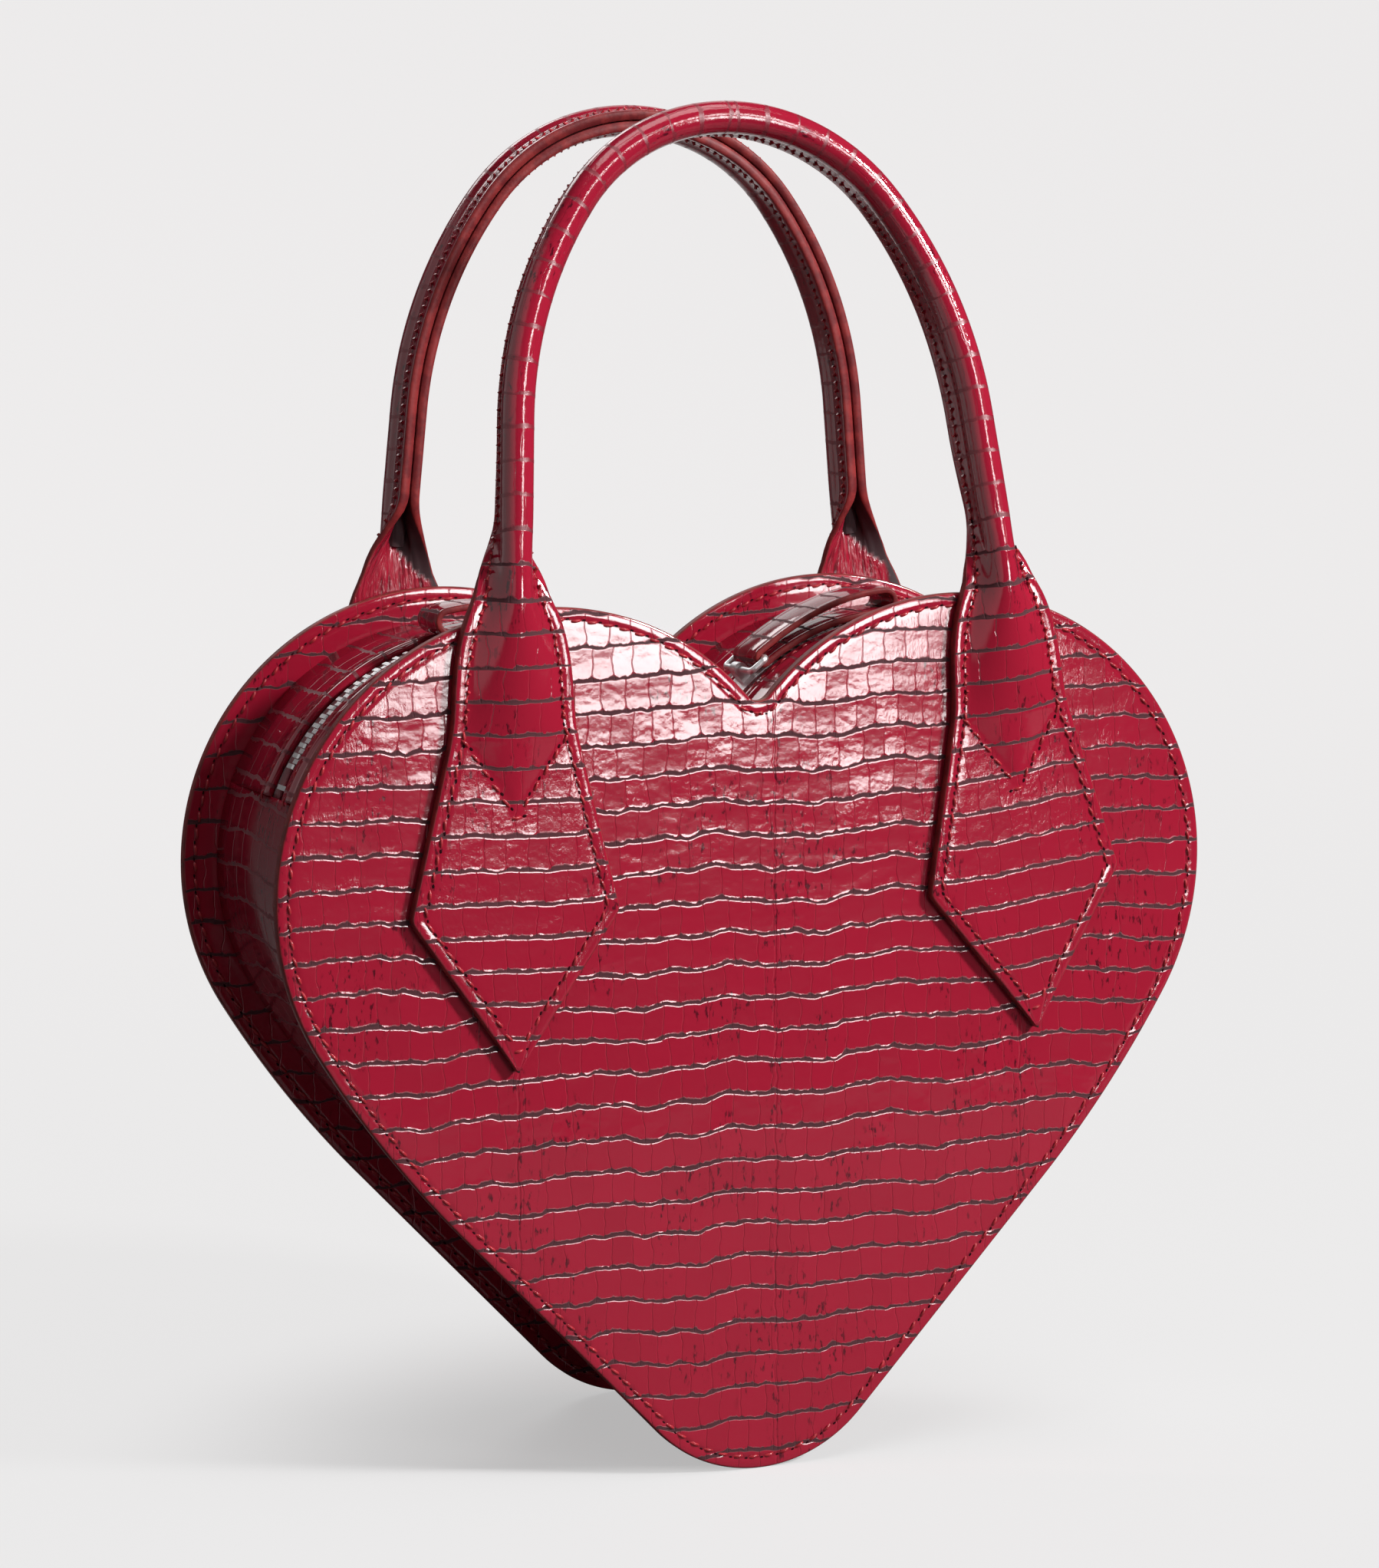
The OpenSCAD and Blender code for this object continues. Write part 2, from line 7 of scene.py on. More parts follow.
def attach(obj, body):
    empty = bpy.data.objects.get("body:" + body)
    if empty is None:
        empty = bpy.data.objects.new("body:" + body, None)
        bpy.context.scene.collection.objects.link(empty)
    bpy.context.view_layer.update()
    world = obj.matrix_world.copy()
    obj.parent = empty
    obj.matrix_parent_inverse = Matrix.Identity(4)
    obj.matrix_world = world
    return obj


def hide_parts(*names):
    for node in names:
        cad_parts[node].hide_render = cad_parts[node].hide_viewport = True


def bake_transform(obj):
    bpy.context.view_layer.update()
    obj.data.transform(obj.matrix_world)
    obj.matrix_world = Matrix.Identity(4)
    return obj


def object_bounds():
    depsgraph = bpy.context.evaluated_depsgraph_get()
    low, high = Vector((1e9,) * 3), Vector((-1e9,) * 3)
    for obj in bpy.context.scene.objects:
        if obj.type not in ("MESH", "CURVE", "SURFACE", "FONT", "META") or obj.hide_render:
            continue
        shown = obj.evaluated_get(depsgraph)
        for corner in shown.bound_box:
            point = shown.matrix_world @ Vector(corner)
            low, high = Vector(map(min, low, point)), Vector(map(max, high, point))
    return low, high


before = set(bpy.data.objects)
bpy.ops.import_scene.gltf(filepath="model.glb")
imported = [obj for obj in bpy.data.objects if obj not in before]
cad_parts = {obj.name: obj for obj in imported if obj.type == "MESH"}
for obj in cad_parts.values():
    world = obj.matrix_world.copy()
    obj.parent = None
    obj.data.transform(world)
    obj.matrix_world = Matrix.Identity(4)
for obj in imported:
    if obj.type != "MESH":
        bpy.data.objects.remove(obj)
cad_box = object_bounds()

# Sizes in millimetres on the heart's own axes: front face at y 0, tip at z 0.
HEART_W, NOTCH_R, NOTCH_DEPTH, SIDE_R, TIP_R = 240, 3.5, 24, 265, 36.5
LOBE_END, FLANK = 31, 43.2
BAG_DEPTH, PANEL_T = 80, 3
GUSSET_IN, GUSSET_T, HEM_W, HEM_RISE = 8.5, 1.4, 5, 0.8
TAPE_IN, TAPE_T, TAPE_W, TAPE_EDGE = 9.9, 0.6, 14, 1.2
ZIP_WINDOW, ZIP_END = 12, 21
HANDLE_R, COVER_T, SEAM_W = 3.9, 1.25, 5
CROWN_R, BOW_R, CROWN_ANGLE, LEG_SLOPE, LEG_L = 49, 102.6, 36.7, 5.3, 38
TAB_T, TAB_BACK_T = 1.5, 1.2
LEFT_SPLAY, RIGHT_SPLAY = 0, 5.5
TAB_NECK, TAB_WAIST, TAB_CORNER = 20, 30, 52
TAB_WAIST_L, TAB_CORNER_L, TAB_TIP_L = 33, 77.5, 114.5
FRONT_LEAN, BACK_LEAN = 11, 2.3
STRAP_W, STRAP_T, STRAP_L, LOOP_GAP, FRAME_L, PULL_LIFT = 14, 1.6, 36, 3.6, 5, 2.9
TOOTH_HALF, SHELL_GAP, SHELL_T, WIRE_R, WIRE_GAP = 1.2, 0.3, 1, 0.8, 0.1
RIGHT_SLIDER, LEFT_SLIDER = 131, 116
ARC_STEP, STITCH_PITCH, STITCH_IN = 1.4, 4.1, 3.0
HOLE_LIFT, RIM_SINK, HEM_STITCH_IN, HEM_STITCH_RISE = 0.03, 0.11, 2.6, 0.62


def sin(a):
    return math.sin(math.radians(a))


def cos(a):
    return math.cos(math.radians(a))


reach = HEART_W / 2 + NOTCH_R
LOBE_R = NOTCH_DEPTH + reach - math.sqrt(2 * NOTCH_DEPTH * reach) - NOTCH_R
LOBE_X = HEART_W / 2 - LOBE_R
side_off = ((LOBE_R - SIDE_R) * cos(LOBE_END), -(LOBE_R - SIDE_R) * sin(LOBE_END))
LOBE_Z = (TIP_R * (1 - sin(FLANK)) - SIDE_R - cos(FLANK) * (LOBE_X + side_off[0])) \
    / -sin(FLANK) - side_off[1]
SIDE_C = (LOBE_X + side_off[0], LOBE_Z + side_off[1])
NOTCH_Z = LOBE_Z + math.sqrt((LOBE_R + NOTCH_R) ** 2 - LOBE_X ** 2)
NOTCH_ANGLE = math.degrees(math.atan2(NOTCH_Z - LOBE_Z, -LOBE_X))
HINGE_Y = -HANDLE_R - 0.1
HINGE_Z = LOBE_Z + LOBE_R + 6.2
BOW_X = (CROWN_R - BOW_R) * cos(CROWN_ANGLE)
BOW_Z = LEG_L * cos(LEG_SLOPE) - BOW_R * sin(LEG_SLOPE)
CROWN_Z = BOW_Z + (BOW_R - CROWN_R) * sin(CROWN_ANGLE)
LEG_X = BOW_X + BOW_R * cos(LEG_SLOPE) + LEG_L * sin(LEG_SLOPE)
CROWN_TOP = CROWN_Z + CROWN_R
GRIP = np.array([0, HINGE_Y + (CROWN_TOP - HANDLE_R) * sin(FRONT_LEAN),
                 HINGE_Z + (CROWN_TOP - HANDLE_R) * cos(FRONT_LEAN)])
CHAIN_R = LOBE_R - TAPE_IN - TAPE_T / 2
PULL_R = CHAIN_R + TOOTH_HALF + SHELL_GAP + SHELL_T + PULL_LIFT
MID_Y = BAG_DEPTH / 2


def to_frame(points):
    """Millimetres on the heart's axes to metres in the frame."""
    return (np.asarray(points, float) - GRIP) / 1000


# ---- node helpers
FLOAT, VECTOR, GEOMETRY = "NodeSocketFloat", "NodeSocketVector", "NodeSocketGeometry"
TO_MM = (1000, 1000, 1000)


class Wires:
    """Short calls that add nodes to a tree and join them."""

    def __init__(self, tree):
        self.tree = tree

    def fill(self, node, values):
        """Sets or links a node's inputs, given by name or in their order."""
        for label, value in values.items() if isinstance(values, dict) else enumerate(values):
            if isinstance(value, bpy.types.NodeSocket):
                self.tree.links.new(value, node.inputs[label])
            else:
                node.inputs[label].default_value = value
        return node

    def node(self, kind, values=(), **settings):
        made = self.tree.nodes.new(kind)
        for name, value in settings.items():
            setattr(made, name, value)
        return self.fill(made, values)

    def get(self, kind, values=(), **settings):
        """The first output of a new node."""
        return self.node(kind, values, **settings).outputs[0]

    def math(self, operation, *values, clamp=False):
        return self.get("ShaderNodeMath", values, operation=operation, use_clamp=clamp)

    add = partialmethod(math, "ADD")
    sub = partialmethod(math, "SUBTRACT")
    mul = partialmethod(math, "MULTIPLY")
    div = partialmethod(math, "DIVIDE")
    mad = partialmethod(math, "MULTIPLY_ADD")
    most = partialmethod(math, "MAXIMUM")
    rest = partialmethod(math, "SUBTRACT", 1.0)

    def step(self, *values):
        """Value, from, to: eased from 0 to 1 between them, or from a fourth to a fifth."""
        return self.get("ShaderNodeMapRange", values, interpolation_type="SMOOTHSTEP")

    def mix(self, share, a, b):
        made = self.node("ShaderNodeMix", {0: share, 6: a, 7: b}, data_type="RGBA")
        return made.outputs[2]

    def noise(self, vector, scale, detail=2.0, rough=0.5):
        return self.node("ShaderNodeTexNoise", {
            "Vector": vector, "Scale": scale, "Detail": detail,
            "Roughness": rough}).outputs["Fac"]

    def split(self, vector):
        return self.node("ShaderNodeSeparateXYZ", [vector]).outputs

    def join(self, *values):
        return self.get("ShaderNodeCombineXYZ", values)

    def scale(self, vector, factor):
        return self.get("ShaderNodeVectorMath", (vector, factor), operation="MULTIPLY")

    def share(self, name):
        """A share that the mesh holds for each point."""
        return self.node("ShaderNodeAttribute", attribute_name=name).outputs["Fac"]

    def bump(self, height, distance):
        return self.get("ShaderNodeBump", {"Distance": distance, "Height": height})


def new_group(name, ins, outs, kind="ShaderNodeTree"):
    """A tree, its short calls, what it is given and the node that takes what it makes."""
    tree = bpy.data.node_groups.new(name, kind)
    for way, sockets in (("INPUT", ins), ("OUTPUT", outs)):
        for label, socket_type, *value in sockets:
            socket = tree.interface.new_socket(label, in_out=way, socket_type=socket_type)
            if value:
                socket.default_value = value[0]
    w = Wires(tree)
    return tree, w, w.node("NodeGroupInput").outputs, w.node("NodeGroupOutput")


TILE_SWELLS = ((0.9, 0.07), (7.0, 0.062))     # how far up a tile swells, and by how much
CREASE_PITCH = 66


def crocodile_group():
    """Rows of tiles lapped like shingles: each swells down to a crest, then drops."""
    tree, w, given, out = new_group(
        "crocodile grain",
        [("Place", VECTOR), ("Row", FLOAT, 7.9), ("Tile", FLOAT, 5.6), ("Wave", FLOAT, 9.0),
         ("Crease at", FLOAT, 4.0), ("Seed", FLOAT, 0.0), ("Crinkle", FLOAT, 0.02)],
        [(label, FLOAT) for label in ("Height", "Groove", "Line", "Tile", "Blotch")])
    x, y, _ = w.split(w.scale(given["Place"], TO_MM))
    row_h, tile_w, wave, seed = (given[label] for label in ("Row", "Tile", "Wave", "Seed"))

    def grain(across, along, detail=2.0, rough=0.5):
        """Noise about 0, of a size in millimetres across and along."""
        cell = w.join(w.mad(x, 1 / across, seed), w.mad(y, 1 / along, seed), seed)
        return w.sub(w.noise(cell, 1.0, detail, rough), 0.5)

    bend, ripple, slow = grain(26, 150, 1.0), grain(6.5, 30), grain(60, 45, 1.0)
    y_bent = w.mad(bend, wave, y)
    y_bent = w.mad(ripple, w.mul(wave, 0.45), y_bent)
    y_bent = w.mad(slow, w.mul(wave, 0.5), y_bent)
    rows = w.div(y_bent, row_h)
    above = w.mul(w.math("FRACT", rows), row_h)
    below = w.sub(row_h, above)
    width = w.most(w.mad(grain(3.0, 9.0, 4.0, 0.65), 2.0, 0.42), 0.12)
    x_bent = w.mad(grain(9.0, 7.0), 2.6, x)
    along = w.add(w.div(x_bent, tile_w), w.mul(w.math("FLOOR", rows), 7.37))
    seam, cell = (w.node("ShaderNodeTexVoronoi", {"W": along, "Scale": 1.0, "Randomness": 0.4},
                         voronoi_dimensions="1D", feature=feature).outputs
                  for feature in ("DISTANCE_TO_EDGE", "F1"))
    gap = w.mul(seam["Distance"], tile_w)
    line = w.rest(w.step(gap, 0.03, 0.22))
    tile_r, tile_g, _ = w.split(cell["Color"])
    above = w.mad(tile_g, -0.35, above)
    corner = w.mul(w.rest(w.step(gap, 0.0, 1.1)), 0.75)
    # Groove mask: the drop between rows and the strip just under the crest above it, which the
    # leather paints near black as painted shade.
    groove = w.rest(w.step(w.mad(corner, -0.4, above), w.mul(width, 0.75), w.mul(width, 1.7)))
    groove = w.most(groove, w.rest(w.step(below, 0.05, 0.3)))
    from_crease = w.add(w.sub(x_bent, given["Crease at"]), 20.5 * CREASE_PITCH)
    crease = w.math("ABSOLUTE", w.sub(w.math("MODULO", from_crease, CREASE_PITCH),
                                      CREASE_PITCH / 2))
    fold = w.rest(w.step(crease, 0.08, 0.4))
    height = 0.0
    for reach, rise in TILE_SWELLS:
        swell = w.rest(w.div(above, reach), clamp=True)
        height = w.mad(w.mul(swell, swell), rise, height)
    height = w.mul(w.add(height, 0.26), w.step(
        above, 0.0, w.add(corner, w.mad(width, 0.9, 0.15)), 0.66, 1.0))
    for part, rise in ((w.step(below, 0.0, 0.5), 0.04), (line, -0.07), (fold, -0.1),
                       (w.mul(w.sub(tile_r, 0.5), above), 0.013), (tile_g, 0.03),
                       (grain(1.2, 1.8, 4.0, 0.6), given["Crinkle"]),
                       (w.mul(grain(0.4, 2.2), w.step(above, 4.0, 0.6, 0.2, 1.0)), 0.014),
                       (grain(8.0, 5.0), 0.07), (slow, 0.5)):
        height = w.mad(part, rise, height)
    smear = w.step(grain(1.2, 3.6, 3.0, 0.6), 0.06, 0.16)
    patch = w.most(w.step(grain(22, 30), 0.02, 0.1), w.rest(w.step(crease, 0.8, 3.2)))
    w.fill(out, (height, groove, w.most(line, w.mul(fold, 0.8)), tile_r, w.mul(smear, patch)))
    return tree


def pores_group():
    """Fine pores and creases of smooth leather."""
    tree, w, given, out = new_group(
        "leather pores", [("Place", VECTOR), ("Size", FLOAT, 0.6)],
        [("Height", FLOAT), ("Shade", FLOAT)])
    place = w.scale(given["Place"], TO_MM)
    pore = w.node("ShaderNodeTexVoronoi", {
        "Vector": place, "Scale": w.div(1.0, given["Size"])}).outputs["Distance"]
    crease = w.noise(place, 0.25, 4.0, 0.6)
    w.fill(out, (w.add(w.mul(pore, 0.5), w.mul(crease, 1.5)), crease))
    return tree


def weave_group():
    """Plain weave: warp and weft threads over and under each other."""
    tree, w, given, out = new_group(
        "plain weave", [("Place", VECTOR), ("Thread", FLOAT, 0.45)],
        [("Height", FLOAT), ("Shade", FLOAT)])
    place = w.scale(given["Place"], TO_MM)
    x, y, _ = w.split(place)
    turns = w.div(math.pi, given["Thread"])
    over = w.mul(w.math("SINE", w.mul(x, turns)), w.math("SINE", w.mul(y, turns)))
    w.fill(out, (w.mad(over, 0.5, 0.5),
                 w.mad(w.noise(place, 0.6, 3.0), 0.5, w.mul(over, 0.12))))
    return tree


CROCODILE, PORES, WEAVE = crocodile_group(), pores_group(), weave_group()


# ---- materials
def blank_tree(holder):
    """Short calls on the emptied tree of a material or the world."""
    holder.use_nodes = True
    holder.node_tree.nodes.clear()
    return Wires(holder.node_tree)


def new_material(name, **fixed):
    material = bpy.data.materials.new(name)
    w = blank_tree(material)
    shader = w.node("ShaderNodeBsdfPrincipled", {
        label.replace("_", " "): value for label, value in fixed.items()})
    w.node("ShaderNodeOutputMaterial", [shader.outputs[0]])
    return material, w, shader


def place_of(w, source):
    """Metres on a strip's own map, on the panels' plane, or in space."""
    if source == "MAP":
        return w.get("ShaderNodeUVMap", uv_map="leather")
    place = w.node("ShaderNodeTexCoord").outputs["Object"]
    if source == "SPACE":
        return place
    x, _, z = w.split(place)
    return w.join(x, z)


LIGHT_RED, DEEP_RED = (0.385, 0.0105, 0.034, 1), (0.285, 0.0075, 0.024, 1)
# The groove and stitch channel reds are painted shade of these hollows.
BLOTCH_RED, GROOVE_SHADE_RED = (0.03, 0.003, 0.008, 1), (0.038, 0.003, 0.008, 1)
CHANNEL_SHADE_RED = (0.05, 0.004, 0.008, 1)


def crocodile_leather(name, source, seed, row=7.9, tile=5.8, wave=6.5, crease_at=4.0,
                      groove=0.93, depth=1.0, calm=None, gloss=0.12):
    """Polished, dyed leather, with painted shade in its grooves and stitch channel. calm is
    where along a strip its grooves grow faint.
    """
    material, w, shader = new_material(name, Specular_IOR_Level=0.9, Coat_Roughness=0.035,
                                       Coat_IOR=1.7)
    place = place_of(w, source)
    grain = w.node("ShaderNodeGroup", {
        "Place": place, "Row": row, "Tile": tile, "Wave": wave, "Crease at": crease_at,
        "Seed": seed}, node_tree=CROCODILE)
    out = grain.outputs
    shaded_groove, height, rolled = w.mul(out["Groove"], groove), out["Height"], 0.0
    if calm:
        rolled = w.step(w.split(place)[1], *calm)
        flat = w.mad(rolled, -0.6, 1.0)
        height, shaded_groove = w.mul(height, flat), w.mul(shaded_groove, flat)
        w.fill(grain, {"Crinkle": w.mad(rolled, 0.16, 0.035)})
    shade = w.mix(w.mul(out["Tile"], 0.35), LIGHT_RED, DEEP_RED)
    # Grooves and the stitch channel turn near black: painted shade in hollows that the bump
    # alone leaves lit.
    for part, share, red in ((out["Line"], 0.35, DEEP_RED), (out["Blotch"], 0.8, BLOTCH_RED),
                             (shaded_groove, 1.0, GROOVE_SHADE_RED),
                             (w.share("stitch_channel"), 0.4, CHANNEL_SHADE_RED)):
        shade = w.mix(w.mul(part, share), shade, red)
    w.fill(shader, {
        "Base Color": shade,
        "Roughness": w.mad(shaded_groove, 0.9, w.mad(rolled, 0.01, w.mad(out["Tile"], 0.04, 0.06))),
        "Coat Weight": w.mad(shaded_groove, -0.9 * gloss, gloss),
        "Normal": w.bump(height, 0.001 * depth)})
    return material


def two_tone(name, group, size, source, color, deep, ease, relief, **fixed):
    """A colour and a deeper one, as the shade of a grain says, with its relief."""
    material, w, shader = new_material(name, **fixed)
    grain = w.node("ShaderNodeGroup", (place_of(w, source), size), node_tree=group).outputs
    shade = w.mix(w.step(grain["Shade"], *ease), (*deep, 1), (*color, 1))
    w.fill(shader, {"Base Color": shade, "Normal": w.bump(grain["Height"], relief)})
    return material


def smooth_leather(name, color, deep, rough, size=0.6, relief=6e-5, shine=0.5):
    return two_tone(name, PORES, size, "SPACE", color, deep, (0.35, 0.65), relief,
                    Roughness=rough, Specular_IOR_Level=shine)


def cloth(name, color, deep, thread, source="SPACE"):
    return two_tone(name, WEAVE, thread, source, color, deep, (0.1, 0.6), 9e-5,
                    Roughness=0.78, Sheen_Weight=0.25, Sheen_Roughness=0.5)


def plated_metal():
    material, w, shader = new_material("silver plated metal", Metallic=0.85)
    place = place_of(w, "SPACE")
    scratch = w.noise(w.scale(place, (900, 5000, 900)), 1.0, 3.0)
    dull = w.step(w.noise(place, 350.0, 3.0), 0.35, 0.7)
    w.fill(shader, {
        "Base Color": w.mix(dull, (0.82, 0.82, 0.83, 1), (0.94, 0.94, 0.94, 1)),
        "Roughness": w.mad(scratch, 0.16, 0.3), "Normal": w.bump(scratch, 6e-6)})
    return material


def flesh_side():
    """Inside of the handle strips, near black as painted shade of the hollow necks, with the
    glossy red tongue in each neck, deeper red in the troughs of its wrinkles as painted shade.
    """
    material, w, shader = new_material("inside of the handle leather")
    tongue = w.share("tongue")
    fold = w.noise(w.scale(place_of(w, "MAP"), (700, 90, 0)), 1.0, 3.0)
    # The tongue's red darkens in the troughs of the wrinkle noise: painted shade of its folds.
    red = w.mix(w.step(fold, 0.35, 0.5), (0.13, 0.003, 0.01, 1), (0.33, 0.009, 0.028, 1))
    w.fill(shader, {
        # Near black off the tongue: painted shade of the hollow inside the necks.
        "Base Color": w.mix(tongue, (0.03, 0.008, 0.011, 1), red),
        "Roughness": w.mad(tongue, -0.35, 0.55), "Normal": w.bump(w.mul(fold, tongue), 9e-4)})
    return material


panel_leather = crocodile_leather("panel crocodile leather", "PANEL", 3.0)
back_leather = crocodile_leather("back crocodile leather", "PANEL", 141.0)
strip_leather = crocodile_leather("handle crocodile leather", "MAP", 37.0, wave=3.0,
                                  crease_at=33.0, groove=0.9, depth=0.85, calm=(0.115, 0.135))
gusset_leather = crocodile_leather("gusset crocodile leather", "MAP", 71.0, 8.6, 7.0, 5.0,
                                   groove=0.6, depth=0.6, gloss=0.05)
strap_leather = crocodile_leather("strap crocodile leather", "MAP", 11.0, 7.0, 6.0, 1.5,
                                  33.0, 0.8, 0.8)
edge_paint = smooth_leather("painted leather edge", (0.27, 0.026, 0.026),
                            (0.15, 0.012, 0.015), 0.5, size=0.9, shine=0.3)
back_of_leather = flesh_side()
# Needle holes: near-black flat dots at each stitch's end, painted shade of the holes.
hole_shade_material = smooth_leather("needle hole", (0.03, 0.003, 0.006), (0.015, 0.002, 0.004),
                               0.8, size=0.3, shine=0.05)
board_material = smooth_leather("bonded leather board", (0.3, 0.2, 0.13), (0.2, 0.13, 0.08),
                                0.8)
thread_material = smooth_leather("sewing thread", (0.47, 0.03, 0.042), (0.3, 0.016, 0.026),
                                 0.25, size=0.25, relief=4e-5, shine=0.35)
tape_material = cloth("zip tape weave", (0.33, 0.01, 0.03), (0.16, 0.004, 0.014), 0.5, "MAP")
lining_material = cloth("lining weave", (0.22, 0.01, 0.02), (0.13, 0.006, 0.012), 0.35)
# The cord is near black: painted shade of the hollow necks where its ends show.
shaded_cord_material = cloth("cotton cord in painted shade", (0.05, 0.012, 0.016), (0.025, 0.006, 0.009), 0.7)
zip_metal = plated_metal()


# ---- mesh helpers
def add_object(name, data):
    made = bpy.data.objects.new(name, data)
    bpy.context.scene.collection.objects.link(made)
    return made


def make_piece(name, points, faces, materials, kinds=None, uv=None, smooth=True):
    """A mesh from points in millimetres, with the finish of each face and a map."""
    mesh = bpy.data.meshes.new(name)
    mesh.from_pydata(to_frame(points).tolist(), [], faces, shade_flat=not smooth)
    for material in materials:
        mesh.materials.append(material)
    if kinds is not None:
        mesh.polygons.foreach_set("material_index", np.asarray(kinds, np.int32))
    if uv is not None:
        corner = np.zeros(len(mesh.loops), np.int32)
        mesh.loops.foreach_get("vertex_index", corner)
        mesh.uv_layers.new(name="leather").data.foreach_set("uv", (uv[corner] / 1000).ravel())
    mesh.validate()
    return add_object(name, mesh)


def mark_points(piece, name, marks):
    """Gives each point a share that the materials read."""
    held = piece.data.attributes.new(name, "FLOAT", "POINT")
    held.data.foreach_set("value", np.asarray(marks, np.float32).ravel())


def grid_faces(rows, columns, close_rows=False, close_columns=False, flip=False, start=0):
    faces = []
    for i in range(rows if close_rows else rows - 1):
        low, high = start + i * columns, start + (i + 1) % rows * columns
        for j in range(columns if close_columns else columns - 1):
            beside = (j + 1) % columns
            face = [low + j, low + beside, high + beside, high + j]
            faces.append(face[::-1] if flip else face)
    return faces


def tube_faces(rows, columns, start=0):
    """The walls of rows of closed sections, and the two ends."""
    faces = grid_faces(rows, columns, close_columns=True, start=start)
    last = start + (rows - 1) * columns
    return faces + [list(range(start, start + columns)),
                    list(range(last, last + columns))[::-1]]


def length_along(points):
    """How far along its run each point lies."""
    return np.concatenate([[0], np.cumsum(np.linalg.norm(np.diff(points, axis=0), axis=1))])


def unit(v):
    return v / np.linalg.norm(v, axis=-1, keepdims=True)


def strip_map(across, along):
    """A map with one row for each section."""
    return np.stack(np.meshgrid(across, along), 2).reshape(-1, 2)


def tidy(piece, merge=1e-6, flat_ends=False):
    """Merges doubles, turns all faces outwards and can cut up large flat ends."""
    work = bmesh.new()
    work.from_mesh(piece.data)
    bmesh.ops.remove_doubles(work, verts=work.verts, dist=merge)
    bmesh.ops.dissolve_degenerate(work, edges=work.edges, dist=1e-7)
    bmesh.ops.recalc_face_normals(work, faces=work.faces)
    big = [f for f in work.faces if flat_ends and len(f.verts) > 4]
    for face in big:
        face.smooth = False
    bmesh.ops.triangulate(work, faces=big)
    work.to_mesh(piece.data)
    work.free()
    return piece


def finish_piece(piece, body, nodes):
    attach(piece, body)
    if nodes:
        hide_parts(*nodes)


def arc_points(x, z, r, inset, start, end, count=None):
    """An arc moved inwards, with a count of points or as many as its outer edge needs."""
    count = count or int(r * math.radians(abs(end - start)) / ARC_STEP)
    a = np.radians(np.linspace(start, end, count))
    return np.stack([x + (r - inset) * np.cos(a), z + (r - inset) * np.sin(a)], 1)


def side_points(inset, start):
    """Right edge from an angle on the lobe down to the tip."""
    lobe = arc_points(LOBE_X, LOBE_Z, LOBE_R, inset, start, -LOBE_END)
    side = arc_points(*SIDE_C, SIDE_R, inset, -LOBE_END, -FLANK)[1:]
    tip = arc_points(0, TIP_R, TIP_R, inset, -FLANK, -90, 26)
    line = np.linspace(side[-1], tip[0], 44)[1:-1]
    return np.concatenate([lobe, side, line, tip])


def top_points(inset, stop=90):
    """From the bottom of the notch over the right lobe to an angle on it."""
    return np.concatenate([
        arc_points(0, NOTCH_Z, NOTCH_R, -inset, -90, NOTCH_ANGLE - 180, 14),
        arc_points(LOBE_X, LOBE_Z, LOBE_R, inset, NOTCH_ANGLE, stop)[1:]])


def both_sides(points):
    """Joins a run that ends on the middle line with its mirror image."""
    return np.concatenate([points, (points * [-1, 1])[::-1][1:]])


def heart_points(inset):
    half = np.concatenate([top_points(inset), side_points(inset, 90)[1:]])
    return both_sides(half)[:-1]


def top_run(inset):
    return both_sides(top_points(inset, ZIP_END)[::-1])


def base_run(inset):
    return both_sides(side_points(inset, ZIP_END))


def at_depth(points, y):
    return np.insert(points, 1, y, axis=1)


# ---- panels
PANEL_RINGS = [(6.5, 0), (4.4, 0), (3.65, 0.01), (3.0, 0.13), (2.35, 0.01), (1.5, 0),
               (0.7, 0.02), (0.32, 0.09), (0.1, 0.26), (0, 0.5)]


def make_panel(name, y, face_sign, leather):
    """A heart of leather on board: both faces, the stitch groove and the painted rim."""
    rings = PANEL_RINGS + [(0, PANEL_T / 2)] + [
        (inset, PANEL_T - drop) for inset, drop in PANEL_RINGS[::-1]]
    outline = [heart_points(inset) for inset, _ in rings]
    count = len(outline[0])
    points = np.concatenate([at_depth(line, y + face_sign * drop)
                             for line, (_, drop) in zip(outline, rings)])
    faces = tube_faces(len(rings), count)
    rim = [i for i, (inset, _) in enumerate(rings) if inset < 0.4]
    kinds = [1 if rim[0] <= i // count < rim[-1] else 0 for i in range(len(faces))]
    piece = make_piece(name, points, faces, [leather, edge_paint], kinds)
    # Marks the stitch groove, which the leather darkens as painted shade.
    mark_points(piece, "stitch_channel", np.repeat([i == STITCH_IN for i, _ in rings], count))
    finish_piece(tidy(piece, flat_ends=True), "bag", [name + "_leather", name + "_facing"])


make_panel("front_panel", 0, 1, panel_leather)
make_panel("back_panel", BAG_DEPTH, -1, back_leather)


# ---- bands round the bag
def make_band(name, run, section, material, nodes, uv_start=0.0):
    """Sweeps a closed section of (depth, inset) points along a run round the heart."""
    lines = [at_depth(run(inset), y) for y, inset in section]
    points = np.stack(lines, 1).reshape(-1, 3)
    uv = strip_map(length_along(section) + uv_start, length_along(lines[0]))
    faces = tube_faces(len(lines[0]), len(section))
    finish_piece(tidy(make_piece(name, points, faces, [material], uv=uv)), "bag", nodes)


